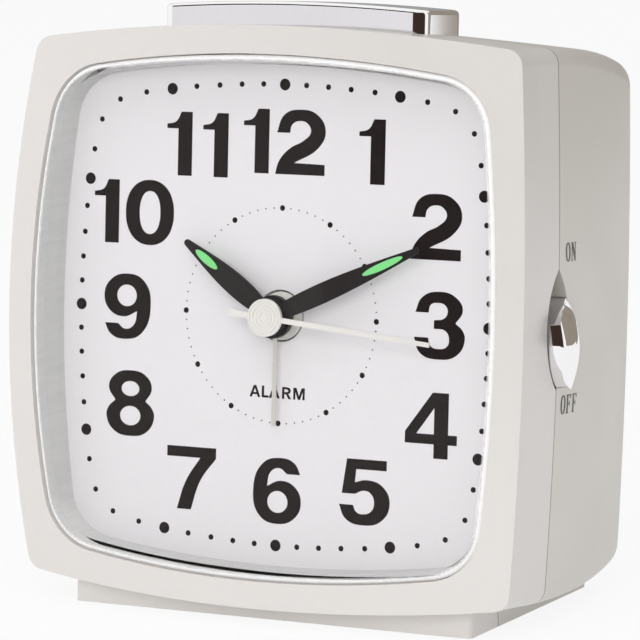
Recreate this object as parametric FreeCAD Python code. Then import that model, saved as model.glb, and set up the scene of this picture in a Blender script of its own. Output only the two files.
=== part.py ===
import FreeCAD, Part
import math
import os

# A bedside alarm clock with a bowed square case. It is modelled upright around its dial and
# leaned back onto its foot at the end. Millimetres.
#
# Dial frame: the origin is on the dial's face at the hands' axis, +X is to the right of someone
# who reads the dial, +Y goes into the clock and +Z is up along the dial.

Vector = FreeCAD.Vector

# Driving dimensions of the case
CASE_HALF = 53.7           # half width and half height at the middle of each bowed side
SIDE_BOW = 370.0           # radius of the four bowed sides
CASE_CORNER = 3.4          # corner radius at the front
DOME_RADIUS = 308.6        # the front face, the lens and the parting line follow one sphere
FRONT_EDGE_Y = -8.4        # front face at the middle of a side
PARTING_Y = 6.4            # parting line at the middle of a side
TAPER_Y = 1.0              # the sides start to curve inwards here
TAPER_RADIUS = 237.0       # radius of that curve, seen from the side
REAR_Y = 54.4              # rear face
REAR_ROUND = 9.8           # rounding between the sides and the rear face
REAR_BOW = 1200.0          # the sides flatten towards the rear
REAR_CORNER = 4.7
WALL = 2.2
FACE_WALL = 2.4

# Opening, lens and dial
OPENING_HALF = 48.5
OPENING_BOW = 240.0
OPENING_CORNER = 11.5
OPENING_WALL = 1.6
OPENING_WALL_END = -1.6
LENS_GAP = 0.2             # lens to opening, all round
LENS_SUNK = 0.3            # lens face behind the face of the case
LENS_WALL = 1.7
LENS_FRONT = 1.8
LENS_EDGE = 1.4            # rounding of the lens's front edge
FLANGE_HALF = 49.7
DIAL_HALF = 47.9
DIAL_THICK = 0.8

# Foot
FOOT_HALF = 41.7
FOOT_FRONT = -2.0
FOOT_BACK = 48.0
FOOT_EDGE = 0.8
FOOT_DROP = 2.7            # below the lowest point of the case, at the front of the foot
LEAN_DEG = 4.65            # the clock leans back by this angle on its foot

# Snooze and light bar on top
BAR_HALF = 27.6
BAR_FRONT = 2.0
BAR_BACK = 17.8
BAR_RISE = 4.4
BAR_CORNER = 2.6
BAR_GAP = 0.4
BAR_SKIRT_Z = 47.6         # lower edge of the bar's skirt, inside the case
BAR_WALL = 1.6
BAR_CEILING_Z = CASE_HALF + 2.0
BAR_EDGE = 0.9             # rounding of the bar's top edge
BAR_HOOK = 2.2             # reach of the hooks that keep the bar in the case
BAR_TRAVEL = 1.5
SHELF_HALF = 24.0          # shelf in the case that carries the bar's springs
SHELF_Y = (8.5, 19.8)
SHELF_TOP = 43.4
SHELF_THICK = 1.4
SHELF_RIB = 1.2
SPRING_X = 16.0
SPRING_Y = 12.0
SPRING_R = 2.05
SPRING_TURNS = 6
SPRING_WIRE_R = 0.25

# Alarm switch in the right side
LEAF_HALF_LENGTH = 11.0
LEAF_HALF_WIDTH = 4.9
LEAF_DEPTH = 4.0
KNOB_HALF_LENGTH = 8.35
KNOB_HALF_WIDTH = 3.9
KNOB_EDGE_X = 55.5
KNOB_DOME = 1.9
SWITCH_TRAVEL = 4.4
SWITCH_REST_Z = -SWITCH_TRAVEL / 2   # the knob is photographed at OFF, its lower end
POCKET_RIM = 1.3
POCKET_TIP_RIM = 1.8
POCKET_SLOT = (1.3, 6.2)   # half width and half length of the slot for the knob's stem
KNOB_CREST_R = 5.2
SWITCH_BODY_X = (41.0, 46.4)
SWITCH_BODY_HALF = (2.7, 9.0)
STEM_HALF = (0.9, 1.6)

# Hands, as angles clockwise from twelve and lengths from the axis
HOUR_ANGLE = -54.7
MINUTE_ANGLE = 65.5
SECOND_ANGLE = 95.3
ALARM_ANGLE = 180.0
HOUR_LENGTH = 22.9
MINUTE_LENGTH = 33.7
SECOND_LENGTH = 34.0
SECOND_TAIL = 7.6
ALARM_LENGTH = 20.3
HAND_THICK = 0.35
ALARM_HAND_Y = -1.9
HOUR_HAND_Y = -3.4
MINUTE_HAND_Y = -4.7
SECOND_HAND_Y = -6.3

HOUR_HUB = (4.0, 1.1)      # radius and height of each hub
MINUTE_HUB = (3.4, 1.0)
ALARM_HUB = (3.6, 0.8)
SECOND_DISC = (3.5, 0.6)
DISC_GROOVES = (0.9, 1.6, 2.3, 3.0)
DISC_GROOVE = (0.22, 0.15)  # width and depth
HOUR_LUME = (2.85, 0.82, 17.2)   # half length, half width and distance from the axis
MINUTE_LUME = (4.5, 0.72, 25.6)
PRESS = 0.02               # a hand's bore is this much larger in radius than its tube

# Tubes of the hands, inside each other with running clearance
RUN = 0.06
ARBOR_R = 0.45
CANNON_R = 1.2
HOUR_TUBE_R = 1.95
ALARM_TUBE_R = 2.7
BUSH_R = 4.5

# Gear train: module and teeth
MOTION_MODULE = 0.48
CANNON_MODULE = 0.5
TRAIN_MODULE = 0.3
THIRD_MODULE = 0.25
WHEEL_THICK = 0.6
ALARM_TEETH = 40
HOUR_TEETH = 40
SET_PINION_TEETH = 10
CANNON_TEETH = 12
MOTION_TEETH = 36
MINUTE_TEETH = 64
THIRD_PINION_TEETH = 8
THIRD_TEETH = 60
SECOND_PINION_TEETH = 8
SECOND_TEETH = 50
MIDDLE_PINION_TEETH = 10
MIDDLE_TEETH = 48
ROTOR_TEETH = 8
SET_DISTANCE = MOTION_MODULE * (HOUR_TEETH + SET_PINION_TEETH) / 2
THIRD_DISTANCE = THIRD_MODULE * (THIRD_TEETH + SECOND_PINION_TEETH) / 2
MINUTE_MODULE = 2 * THIRD_DISTANCE / (MINUTE_TEETH + THIRD_PINION_TEETH)
MIDDLE_DISTANCE = TRAIN_MODULE * (SECOND_TEETH + MIDDLE_PINION_TEETH) / 2
ROTOR_DISTANCE = TRAIN_MODULE * (MIDDLE_TEETH + ROTOR_TEETH) / 2
ROTOR_DIRECTION = math.radians(217.0)

# Planes of the movement, along Y
ALARM_WHEEL_Y = 4.3
HOUR_WHEEL_Y = 5.5
MOTION_WHEEL_Y = 7.0
BRIDGE_Y = 8.5
MINUTE_WHEEL_Y = 9.8
THIRD_WHEEL_Y = 11.2
SECOND_WHEEL_Y = 12.6
MIDDLE_WHEEL_Y = 13.9
ROTOR_Y = 15.1
MOVEMENT_FRONT_Y = 3.0
MOVEMENT_BACK_Y = 17.8
MOVEMENT_END_Y = 19.0
TRAIN_START_Y = BRIDGE_Y + 0.2
SHAFT_END_Y = 26.0
MOVEMENT_HALF = 23.0
MOVEMENT_TOP = 21.0
MOVEMENT_BOTTOM = -27.0
MOVEMENT_WALL = 1.2
MOVEMENT_CORNER = 3.0
PIVOT_R = 0.4
ROTOR_PIVOT_R = 0.35
PIVOT_DEPTH = 0.6
TRAIN_END_Y = MOVEMENT_BACK_Y + PIVOT_DEPTH
STATOR_Y = (15.7, 16.3)
STATOR_HALF = 17.0
STATOR_Z = (-24.2, -10.4)
STATOR_WINDOW = (12.5, -21.6, -18.9)   # half width, bottom and top
ROTOR_HOLE_R = 3.1
MAGNET_R = 2.5
COIL_HALF = 11.0
BOARD_Y = (16.2, 17.2)
BOARD_Z = (10.4, 19.3)
CRYSTAL = (1.0, 6.0)       # radius and length of the can
CHIP_PLACE = (4.0, 14.8)
CHIP_BALL_R = 3.4

# Battery compartment and its door
CELL_R = 7.1
CELL_LENGTH = 49.0
BAY_HALF = 27.5
BAY_BOTTOM = -40.0
BAY_TOP = -23.5
BAY_FLOOR_Y = 36.9
DOOR_HALF = 28.85
DOOR_THICK = 1.6
DOOR_HINGE_Y = 53.3
DOOR_HINGE_Z = -40.55
DOOR_TOP = -22.15
DOOR_SEAT_BOTTOM = -41.7
DOOR_CLEAR = 0.15
BAY_WALL = 1.8
FINGER_R = 5.0             # finger notch above the door
PIN_R = 0.5
PIN_REACH = 1.3            # how far the hinge pins stand out of the door
CELL_START_X = -24.4
STUD_R = 2.7
STUD_LENGTH = 1.6
CONTACT_SPRING_R = (4.1, 2.4)
CONTACT_SPRING_TURNS = 2
CONTACT_WIRE_R = 0.25
CONTACT_THICK = 0.4
CELL_Y = BAY_FLOOR_Y + 0.5 + CELL_R
CELL_Z = (BAY_BOTTOM + BAY_TOP) / 2

# Screw places
CASE_SCREW_X = 35.0
CASE_SCREW_Z = 34.0
EAR_PLACE = 45.3
MOVEMENT_EAR_X = 25.2
MOVEMENT_EAR_Z = -3.0
CARRIER_Y = (0.9, 2.9)     # front and back of the dial carrier
EAR_BOSS_R = 2.2
EAR_PILOT_R = 0.76
TUNNEL_R = (4.4, 3.0)      # outside and bore of the tunnels for the case screws
TUNNEL_FRONT_Y = 12.2
TUNNEL_SEAT_Y = 14.2
CASE_SCREW = (2.6, 1.8, 0.95, 9.8)       # head radius, head height, shank radius, length
CARRIER_SCREW = (1.9, 1.2, 0.7, 5.2)
MOVEMENT_SCREW = (1.8, 1.1, 0.7, 3.9)
CROSS_WIDTH = 0.44

# Rear knobs and buzzer
KNOB_R = 6.5
KNOB_GRIP_Y = (REAR_Y + 0.5, REAR_Y + 6.3)
KNOB_FLUTES = 18
FLUTE_R = 0.8
KNOB_SHANK_R = 2.0
KNOB_SHANK_Y = 21.5
SETTING_SHAFT_R = 1.0
KNOB_HOLE_R = 2.35
BUZZER_Z = 25.0
BUZZER_R = 13.0
BUZZER_BACK = REAR_Y - WALL - 0.6
SOUND_SLOTS = (3.6, 1.6, 8.0, 0.9)       # pitch, width, reach and how fast the reach falls

# Lamp that lights the dial through the edge of the lens
LAMP_HALF = 1.6
LAMP_Z = (48.95, 50.4)
LAMP_NOTCH_HALF = 2.2


def cyl(radius, y0, y1, x=0.0, z=0.0):
    """Cylinder along Y."""
    return Part.makeCylinder(radius, y1 - y0, Vector(x, y0, z), Vector(0, 1, 0))


def cyl_x(radius, x0, x1, y, z):
    """Cylinder along X."""
    return Part.makeCylinder(radius, x1 - x0, Vector(x0, y, z), Vector(1, 0, 0))


def tube(outer, inner, y0, y1, x=0.0, z=0.0):
    return cyl(outer, y0, y1, x, z).cut(cyl(inner, y0 - 1, y1 + 1, x, z))


def box(x0, x1, y0, y1, z0, z1):
    return Part.makeBox(x1 - x0, y1 - y0, z1 - z0, Vector(x0, y0, z0))


def coil(wire_r, first_r, last_r, rise, turns):
    """Wire spring along +Z from the origin, its turns made of quarter arcs on a helix."""
    steps = 8 * turns

    def on_helix(k):
        share = k / steps
        radius = first_r + (last_r - first_r) * share
        angle = 2 * math.pi * turns * share
        return Vector(radius * math.cos(angle), radius * math.sin(angle), rise * share)

    arcs = [Part.Arc(on_helix(k), on_helix(k + 1), on_helix(k + 2)).toShape() for k in range(0, steps, 2)]
    gap = min(on_helix(k).distanceToPoint(on_helix(k + 8)) for k in range(steps - 7)) - 2 * wire_r
    print("coil of %d turns: least gap between turns %.2f mm" % (turns, gap))
    start = arcs[0].tangentAt(arcs[0].FirstParameter)
    section = Part.Wire([Part.makeCircle(wire_r, on_helix(0), start)])
    return Part.Wire(arcs).makePipeShell([section], True, False)


def fuse(first, *others):
    shape = first
    for other in others:
        shape = shape.fuse(other)
    return shape.removeSplitter()


def bowed_square(half, bow, corner, y):
    """Closed wire of four bowed sides and four corner arcs, in the plane at y."""
    side = half - bow
    middle = (side + math.sqrt(2 * (bow - corner) ** 2 - side * side)) / 2
    scale = bow / (bow - corner)
    high = Vector(side + (middle - side) * scale, y, middle * scale)
    low = Vector(high.x, y, -high.z)
    top = Vector(high.z, y, high.x)
    bend = middle + corner * math.sqrt(0.5)
    edges = []
    for turn in range(4):
        for a, b, c in ((low, Vector(half, y, 0), high), (high, Vector(bend, y, bend), top)):
            arc = Part.Arc(a, b, c).toShape()
            arc.rotate(Vector(0, 0, 0), Vector(0, -1, 0), 90.0 * turn)
            edges.append(arc)
    return Part.Wire(edges)


def bowed_prism(half, bow, corner, y0, y1):
    return Part.Face(bowed_square(half, bow, corner, y0)).extrude(Vector(0, y1 - y0, 0))


def dome(apex_y):
    """Everything behind a sphere whose foremost point is at apex_y."""
    return Part.makeSphere(DOME_RADIUS, Vector(0, apex_y + DOME_RADIUS, 0))


def dome_apex(edge_y):
    """Apex of the dome that passes through edge_y at the middle of a case side."""
    return edge_y - (DOME_RADIUS - math.sqrt(DOME_RADIUS**2 - CASE_HALF**2))


def tapered_body(inset):
    """The case's outer form, or its inside when inset by the wall."""
    half = CASE_HALF - inset
    front_corner = CASE_CORNER - 0.6 * inset
    rear_corner = REAR_CORNER - 0.6 * inset
    taper = TAPER_RADIUS - inset
    rounding = REAR_ROUND - inset
    slope = math.asin((REAR_Y - REAR_ROUND - TAPER_Y) / (TAPER_RADIUS - REAR_ROUND))
    round_reach = CASE_HALF - TAPER_RADIUS + (TAPER_RADIUS - REAR_ROUND) * math.cos(slope)
    round_y = REAR_Y - REAR_ROUND
    sides = []
    for share in (0.0, 0.33, 0.67, 1.0):
        angle = slope * share
        bow = 1.0 / ((1.0 - share) / SIDE_BOW + share / REAR_BOW) - inset
        corner = front_corner + (rear_corner - front_corner) * share**3
        reach = CASE_HALF - TAPER_RADIUS + taper * math.cos(angle)
        sides.append(bowed_square(reach, bow, corner, TAPER_Y + taper * math.sin(angle)))
    back = [sides[-1]]
    for share in (0.25, 0.5, 0.75, 1.0):
        angle = slope + (math.pi / 2 - slope) * share
        reach = round_reach + rounding * math.cos(angle)
        back.append(bowed_square(reach, REAR_BOW - inset, rear_corner, round_y + rounding * math.sin(angle)))
    straight = bowed_prism(half, SIDE_BOW - inset, front_corner, -16.0, TAPER_Y)
    lofts = [Part.makeLoft(wires, True, False) for wires in (sides, back)]
    return straight.fuse(lofts).removeSplitter()


def yz_prism(points, half_width):
    """Polygon of (y, z) points extruded across the clock."""
    corners = [Vector(-half_width, y, z) for y, z in points]
    return Part.Face(Part.makePolygon(corners + corners[:1])).extrude(Vector(2 * half_width, 0, 0))


def foot_line(y):
    """Height of the foot's underside at y, in the dial frame."""
    return -CASE_HALF - FOOT_DROP + (y - FOOT_FRONT) * math.tan(math.radians(LEAN_DEG))


def foot_block(inset):
    front = FOOT_FRONT + inset
    back = FOOT_BACK - inset
    lift = inset / math.cos(math.radians(LEAN_DEG))
    return yz_prism(
        [
            (front, -40.0),
            (front, foot_line(front) + lift),
            (back, foot_line(back) + lift),
            (back, -40.0),
        ],
        FOOT_HALF - inset,
    )


def leaf(half_length, half_width, x0, x1, y, z):
    """Leaf of two arcs in a YZ plane, extruded along X."""
    tip_up = Vector(x0, y, z + half_length)
    tip_down = Vector(x0, y, z - half_length)
    near = Part.Arc(tip_down, Vector(x0, y - half_width, z), tip_up).toShape()
    far = Part.Arc(tip_up, Vector(x0, y + half_width, z), tip_down).toShape()
    return Part.Face(Part.Wire([near, far])).extrude(Vector(x1 - x0, 0, 0))


def rounded_plate(x0, x1, y0, y1, z0, z1, radius):
    """Plate with its four Z edges rounded."""
    return with_rounded_edges(box(x0, x1, y0, y1, z0, z1), Vector(0, 0, 1), radius)


def rounded_plate_y(x0, x1, y0, y1, z0, z1, radius):
    """Plate with its four Y edges rounded."""
    return with_rounded_edges(box(x0, x1, y0, y1, z0, z1), Vector(0, 1, 0), radius)


def with_rounded_edges(block, direction, radius):
    """Rounds the edges of a block that run along a direction."""
    edges = [e for e in block.Edges if abs(e.tangentAt(e.FirstParameter).dot(direction)) > 0.99]
    return block.makeFillet(radius, edges)


def gear(teeth, module, y0, y1, x, z, phase):
    """Wheel with straight-flanked teeth; a tooth is centred on the angle phase."""
    pitch = 2 * math.pi / teeth
    radius = module * teeth / 2
    tip = radius + 0.75 * module
    root = radius - 1.0 * module
    corners = []
    for k in range(teeth):
        centre = phase + k * pitch
        for r, offset in ((root, -0.31), (tip, -0.11), (tip, 0.11), (root, 0.31)):
            angle = centre + offset * pitch
            corners.append(Vector(x + r * math.cos(angle), y0, z + r * math.sin(angle)))
    outline = Part.makePolygon(corners + corners[:1])
    return Part.Face(outline).extrude(Vector(0, y1 - y0, 0))


def meshing_phase(driver_phase, driver_teeth, teeth, direction):
    """Phase of a gear that meshes with a driver lying in the opposite direction."""
    driver_pitch = 2 * math.pi / driver_teeth
    pitch = 2 * math.pi / teeth
    share = (driver_phase - direction) / driver_pitch
    return direction + math.pi + pitch * (0.5 - share)


def ring_groove(radius, width, depth, y_face):
    return tube(radius + width / 2, radius - width / 2, y_face - 0.1, y_face + depth)


CLOSED_CASE = tapered_body(0.0).common(dome(dome_apex(FRONT_EDGE_Y)))
PARTING_DOME = dome(dome_apex(PARTING_Y))
TIME_SET = (SET_DISTANCE, 0.0)
ALARM_SET = (-SET_DISTANCE, 0.0)
THIRD_PLACE = (0.0, THIRD_DISTANCE)
MIDDLE_PLACE = (0.0, -MIDDLE_DISTANCE)
ROTOR_PLACE = (
    ROTOR_DISTANCE * math.cos(ROTOR_DIRECTION),
    -MIDDLE_DISTANCE + ROTOR_DISTANCE * math.sin(ROTOR_DIRECTION),
)


def hollow_case():
    """Both halves of the case in one piece, before it is parted."""
    outside = CLOSED_CASE.fuse(rounded_foot())
    inside = tapered_body(WALL).common(dome(dome_apex(FRONT_EDGE_Y) + FACE_WALL))
    window_block = bowed_prism(
        OPENING_HALF + OPENING_WALL, OPENING_BOW, OPENING_CORNER + OPENING_WALL, -16.0, OPENING_WALL_END
    )
    shell = outside.cut(inside.cut(window_block))
    shell = shell.cut(foot_block(WALL))
    window = bowed_prism(OPENING_HALF, OPENING_BOW, OPENING_CORNER, -16.0, 0.0)
    return shell.cut(window)


def rounded_foot():
    return with_rounded_edges(foot_block(0.0), Vector(0, 0, 1), FOOT_EDGE)


def switch_pocket(shell):
    """Adds the leaf-shaped pocket that the alarm switch slides in."""
    floor_x = CASE_HALF - LEAF_DEPTH
    slot_half_width, slot_half_length = POCKET_SLOT
    rim = leaf(
        LEAF_HALF_LENGTH + POCKET_TIP_RIM,
        LEAF_HALF_WIDTH + POCKET_RIM,
        floor_x - POCKET_RIM,
        CASE_HALF - 1.0,
        PARTING_Y,
        0.0,
    )
    hole = leaf(LEAF_HALF_LENGTH, LEAF_HALF_WIDTH, floor_x, CASE_HALF + 5, PARTING_Y, 0.0)
    slot = box(
        floor_x - 2,
        floor_x + 1,
        PARTING_Y - slot_half_width,
        PARTING_Y + slot_half_width,
        -slot_half_length,
        slot_half_length,
    )
    return shell.fuse(rim).cut(hole).cut(slot)


def bar_opening():
    return rounded_plate(
        -BAR_HALF - BAR_GAP,
        BAR_HALF + BAR_GAP,
        BAR_FRONT - BAR_GAP,
        BAR_BACK + BAR_GAP,
        CASE_HALF - 5,
        CASE_HALF + 8,
        BAR_CORNER + BAR_GAP,
    )


CASE_SHELL = switch_pocket(hollow_case()).cut(bar_opening())


def four_places(reach):
    """The four corners of a square around the axis, as (x, z)."""
    return [(sx * reach, sz * reach) for sx in (-1, 1) for sz in (-1, 1)]


def case_screw_places():
    return [(sx * CASE_SCREW_X, sz * CASE_SCREW_Z) for sx in (-1, 1) for sz in (-1, 1)]


def movement_ear_places():
    return [(sx * MOVEMENT_EAR_X, MOVEMENT_EAR_Z) for sx in (-1, 1)]


def front_case():
    """Bezel and front part of the sides, with a boss in each corner for the dial carrier."""
    part = CASE_SHELL.cut(PARTING_DOME)
    for x, z in four_places(EAR_PLACE):
        part = part.fuse(cyl(EAR_BOSS_R, -5.0, DIAL_THICK, x, z))
        part = part.cut(cyl(EAR_PILOT_R, -2.9, 1.5, x, z))
    return part.removeSplitter()


def battery_bay(part):
    """Sinks the battery compartment, the seat of its door and the finger notch into the rear."""
    deep = REAR_Y + 2
    walls = box(
        -BAY_HALF - BAY_WALL,
        BAY_HALF + BAY_WALL,
        BAY_FLOOR_Y - BAY_WALL,
        REAR_Y,
        BAY_BOTTOM - BAY_WALL,
        BAY_TOP + BAY_WALL,
    )
    bay = box(-BAY_HALF, BAY_HALF, BAY_FLOOR_Y, deep, BAY_BOTTOM, BAY_TOP)
    seat_half = DOOR_HALF + DOOR_CLEAR
    seat = box(-seat_half, seat_half, DOOR_HINGE_Y - 0.9, deep, DOOR_SEAT_BOTTOM, DOOR_TOP + DOOR_CLEAR)
    pin_reach = DOOR_HALF + PIN_REACH + 0.3
    pin_holes = cyl_x(PIN_R + RUN, -pin_reach, pin_reach, DOOR_HINGE_Y, DOOR_HINGE_Z)
    finger = cyl(FINGER_R, DOOR_HINGE_Y - 0.4, deep, 0.0, DOOR_TOP + FINGER_R / 2 + 0.1)
    part = part.fuse(walls.common(CLOSED_CASE))
    for hole in (bay, seat, pin_holes, finger):
        part = part.cut(hole)
    return part


def rear_case():
    """Everything behind the parting line, with the rear part of the foot."""
    part = battery_bay(CASE_SHELL.common(PARTING_DOME))
    outside_r, bore_r = TUNNEL_R
    for x, z in case_screw_places():
        part = part.fuse(cyl(outside_r, TUNNEL_FRONT_Y, REAR_Y - 1.0, x, z))
        part = part.cut(cyl(bore_r, TUNNEL_SEAT_Y, REAR_Y + 2, x, z))
        part = part.cut(cyl(1.5, TUNNEL_FRONT_Y - 1.2, TUNNEL_SEAT_Y + 0.8, x, z))
    for x, z in (TIME_SET, ALARM_SET):
        part = part.cut(cyl(KNOB_HOLE_R, 50.0, REAR_Y + 2, x, z))
    part = part.fuse(tube(BUZZER_R + 1.7, BUZZER_R + 0.4, BUZZER_BACK - 4.7, REAR_Y - 1.0, 0.0, BUZZER_Z))
    pitch, width, longest, fall = SOUND_SLOTS
    for k in range(-2, 3):
        reach = longest - fall * k * k
        x = pitch * k
        part = part.cut(
            box(x - width / 2, x + width / 2, 50.0, REAR_Y + 2, BUZZER_Z - reach, BUZZER_Z + reach)
        )
    return fuse(part, *spring_shelf())


def spring_shelf():
    """Shelf under the bar, hung from the top wall by three ribs."""
    front, back = SHELF_Y
    bottom = SHELF_TOP - SHELF_THICK
    plate = box(-SHELF_HALF, SHELF_HALF, front, back, bottom, SHELF_TOP)
    back_rib = box(-SHELF_HALF, SHELF_HALF, back - SHELF_RIB, back, bottom, CASE_HALF - 1.6)
    side_ribs = [
        box(x, x + SHELF_RIB, front, back, bottom, 46.6) for x in (-SHELF_HALF, SHELF_HALF - SHELF_RIB)
    ]
    return [plate, back_rib, *side_ribs]


def lens():
    """Clear cover, a shallow tray with a flange behind the rim of the opening."""
    half = OPENING_HALF - LENS_GAP
    apex = dome_apex(FRONT_EDGE_Y) + LENS_SUNK
    body = bowed_prism(half, OPENING_BOW - LENS_GAP, OPENING_CORNER - LENS_GAP, -16.0, -0.6).common(dome(apex))
    front_edges = [e for e in body.Edges if e.BoundBox.YMax < -3.0]
    body = body.makeFillet(LENS_EDGE, front_edges)
    step = FLANGE_HALF - OPENING_HALF
    flange = bowed_prism(FLANGE_HALF, OPENING_BOW + step, OPENING_CORNER + step, -1.4, -0.1)
    inset = LENS_GAP + LENS_WALL
    inner = bowed_prism(OPENING_HALF - inset, OPENING_BOW - inset, OPENING_CORNER - inset, -16.0, 1.0)
    inner = inner.common(dome(apex + LENS_FRONT))
    lamp_notch = box(-LAMP_NOTCH_HALF, LAMP_NOTCH_HALF, -2.0, 0.2, LAMP_Z[0] - 0.1, 52.0)
    return body.fuse(flange).cut(inner).cut(lamp_notch).removeSplitter()


def dial():
    inset = OPENING_HALF - DIAL_HALF
    plate = bowed_prism(DIAL_HALF, OPENING_BOW - inset, OPENING_CORNER - inset, 0.0, DIAL_THICK)
    return plate.cut(cyl(BUSH_R + 0.4, -1.0, 2.0))


def diagonal_bar(reach, width, y0, y1, angle):
    bar = box(0.0, reach, y0, y1, -width / 2, width / 2)
    bar.rotate(Vector(0, 0, 0), Vector(0, -1, 0), angle)
    return bar


def dial_carrier():
    """Frame that holds dial and movement and takes the screws of the rear case."""
    y0, y1 = CARRIER_Y
    half = DIAL_HALF - 0.5
    inset = OPENING_HALF - half
    plate = bowed_prism(half, OPENING_BOW - inset, OPENING_CORNER - inset, y0, y1)
    for sx in (-1, 1):
        plate = plate.cut(rounded_plate_y(sx * 36 - 7, sx * 36 + 7, y0 - 1, y1 + 1, -22, 22, 2.0))
    arms = [diagonal_bar(EAR_PLACE * math.sqrt(2), 4.6, y0, y1, 45 + 90 * k) for k in range(4)]
    ears = [cyl(EAR_BOSS_R + 0.2, y0, y1, x, z) for x, z in four_places(EAR_PLACE)]
    posts = [cyl(3.4, y0, TUNNEL_FRONT_Y - 0.2, x, z) for x, z in case_screw_places()]
    movement_posts = [cyl(2.2, y0, 5.4, x, z) for x, z in movement_ear_places()]
    lamp_tab = box(-7.0, 7.0, y0, y0 + 0.6, 46.5, 50.6)
    holes = [cyl(BUSH_R + 0.3, 0.0, 4.0)]
    holes += [cyl(1.0, 0.0, 4.0, x, z) for x, z in four_places(EAR_PLACE)]
    holes += [cyl(1.05, 3.5, 13.0, x, z) for x, z in case_screw_places()]
    holes += [cyl(0.8, 2.0, 6.0, x, z) for x, z in movement_ear_places()]
    frame = plate.fuse(arms + ears + posts + movement_posts + [lamp_tab])
    return frame.cut(holes).removeSplitter()


def pan_screws(size, y_seat, places):
    """Pan-head screws driven towards the front, each with a cross recess."""
    head_r, head_h, shank_r, length = size
    top = y_seat + head_h
    arm = head_r * 0.55
    half = CROSS_WIDTH / 2
    screws = []
    for x, z in places:
        head = cyl(head_r, y_seat, top, x, z)
        rim = [e for e in head.Edges if e.BoundBox.YMin > top - 1e-3 and e.Closed]
        head = head.makeFillet(head_h * 0.45, rim)
        shank = cyl(shank_r, y_seat - length, y_seat + 0.1, x, z)
        flat = box(x - arm, x + arm, top - head_h * 0.5, top + 1, z - half, z + half)
        upright = box(x - half, x + half, top - head_h * 0.5, top + 1, z - arm, z + arm)
        screws.append(head.fuse(shank).cut(flat.fuse(upright)).removeSplitter())
    return screws


def snooze_bar():
    """Chromed cap that sinks into the top of the case when it is pressed."""
    crown_z = CASE_HALF + BAR_RISE - SIDE_BOW
    crown = Part.makeCylinder(SIDE_BOW, 60.0, Vector(0, -20.0, crown_z), Vector(0, 1, 0))
    block = rounded_plate(-BAR_HALF, BAR_HALF, BAR_FRONT, BAR_BACK, BAR_SKIRT_Z, CASE_HALF + 8, BAR_CORNER)
    block = block.common(crown)
    top_edges = [e for e in block.Edges if e.BoundBox.ZMin > CASE_HALF + 1.0]
    block = block.makeFillet(BAR_EDGE, top_edges)
    inner = BAR_HALF - BAR_WALL
    hollow = rounded_plate(
        -inner, inner, BAR_FRONT + BAR_WALL, BAR_BACK - BAR_WALL, 40.0, BAR_CEILING_Z, BAR_CORNER - 1.4
    )
    raised_skirt = box(-BAR_HALF - 1, BAR_HALF + 1, 0.0, 20.0, 40.0, BAR_SKIRT_Z + 3.0)
    legs = [box(x, x + BAR_WALL, 6.0, 13.0, BAR_SKIRT_Z, 51.0) for x in (-BAR_HALF, inner)]
    hooks = [
        box(x, x + BAR_HOOK, 6.0, 13.0, BAR_SKIRT_Z, BAR_SKIRT_Z + 2.0) for x in (-BAR_HALF - BAR_HOOK, BAR_HALF)
    ]
    post = box(-3.0, 3.0, 9.0, 13.0, BAR_SKIRT_Z + 0.6, BAR_CEILING_Z + 0.5)
    return fuse(block.cut(hollow).cut(raised_skirt), *legs, *hooks, post)


def bar_springs():
    """Two coil springs between the shelf and the bar's ceiling."""
    bottom = SHELF_TOP + SPRING_WIRE_R + 0.05
    rise = BAR_CEILING_Z - SHELF_TOP - 2 * (SPRING_WIRE_R + 0.05)
    springs = []
    for x in (-SPRING_X, SPRING_X):
        spring = coil(SPRING_WIRE_R, SPRING_R, SPRING_R, rise, SPRING_TURNS)
        spring.translate(Vector(x, SPRING_Y, bottom))
        springs.append(spring)
    return springs


def light_contact():
    """Sprung strip under the bar that closes the snooze and light circuit."""
    thick = 0.4
    y0, y1 = 9.5, 12.5
    foot_end, riser_x, blade_end = -6.5, -3.9, 3.4
    blade_z = 46.0
    foot = box(foot_end, riser_x + thick, y0, y1, SHELF_TOP, SHELF_TOP + thick)
    riser = box(riser_x, riser_x + thick, y0, y1, SHELF_TOP, blade_z + thick)
    blade = box(riser_x, blade_end, y0, y1, blade_z, blade_z + thick)
    return fuse(foot, riser, blade)


def alarm_switch_knob():
    """Leaf whose outer face is a ridge: two cylinders meet at its crest."""
    z_rest = SWITCH_REST_Z
    inner_x = CASE_HALF - LEAF_DEPTH + BAR_GAP
    crest_x = KNOB_EDGE_X + KNOB_DOME
    body = leaf(KNOB_HALF_LENGTH, KNOB_HALF_WIDTH, inner_x, crest_x + 2, PARTING_Y, z_rest)
    long_r = (KNOB_HALF_LENGTH**2 + KNOB_DOME**2) / (2 * KNOB_DOME)
    along = Part.makeCylinder(long_r, 30.0, Vector(crest_x - long_r, PARTING_Y - 15.0, z_rest), Vector(0, 1, 0))
    across = Part.makeCylinder(
        KNOB_CREST_R, 40.0, Vector(crest_x - KNOB_CREST_R, PARTING_Y - 0.4, z_rest - 20.0), Vector(0, 0, 1)
    )
    below_crown = box(
        inner_x - 1, KNOB_EDGE_X - 1.0, PARTING_Y - 8, PARTING_Y + 8, z_rest - 12, z_rest + 12
    )
    body = body.common(along.common(across).fuse(below_crown))
    half_width, half_height = STEM_HALF
    stem = box(
        SWITCH_BODY_X[1] - 0.8,
        inner_x + 0.5,
        PARTING_Y - half_width,
        PARTING_Y + half_width,
        z_rest - half_height,
        z_rest + half_height,
    )
    return fuse(body, stem)


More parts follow.
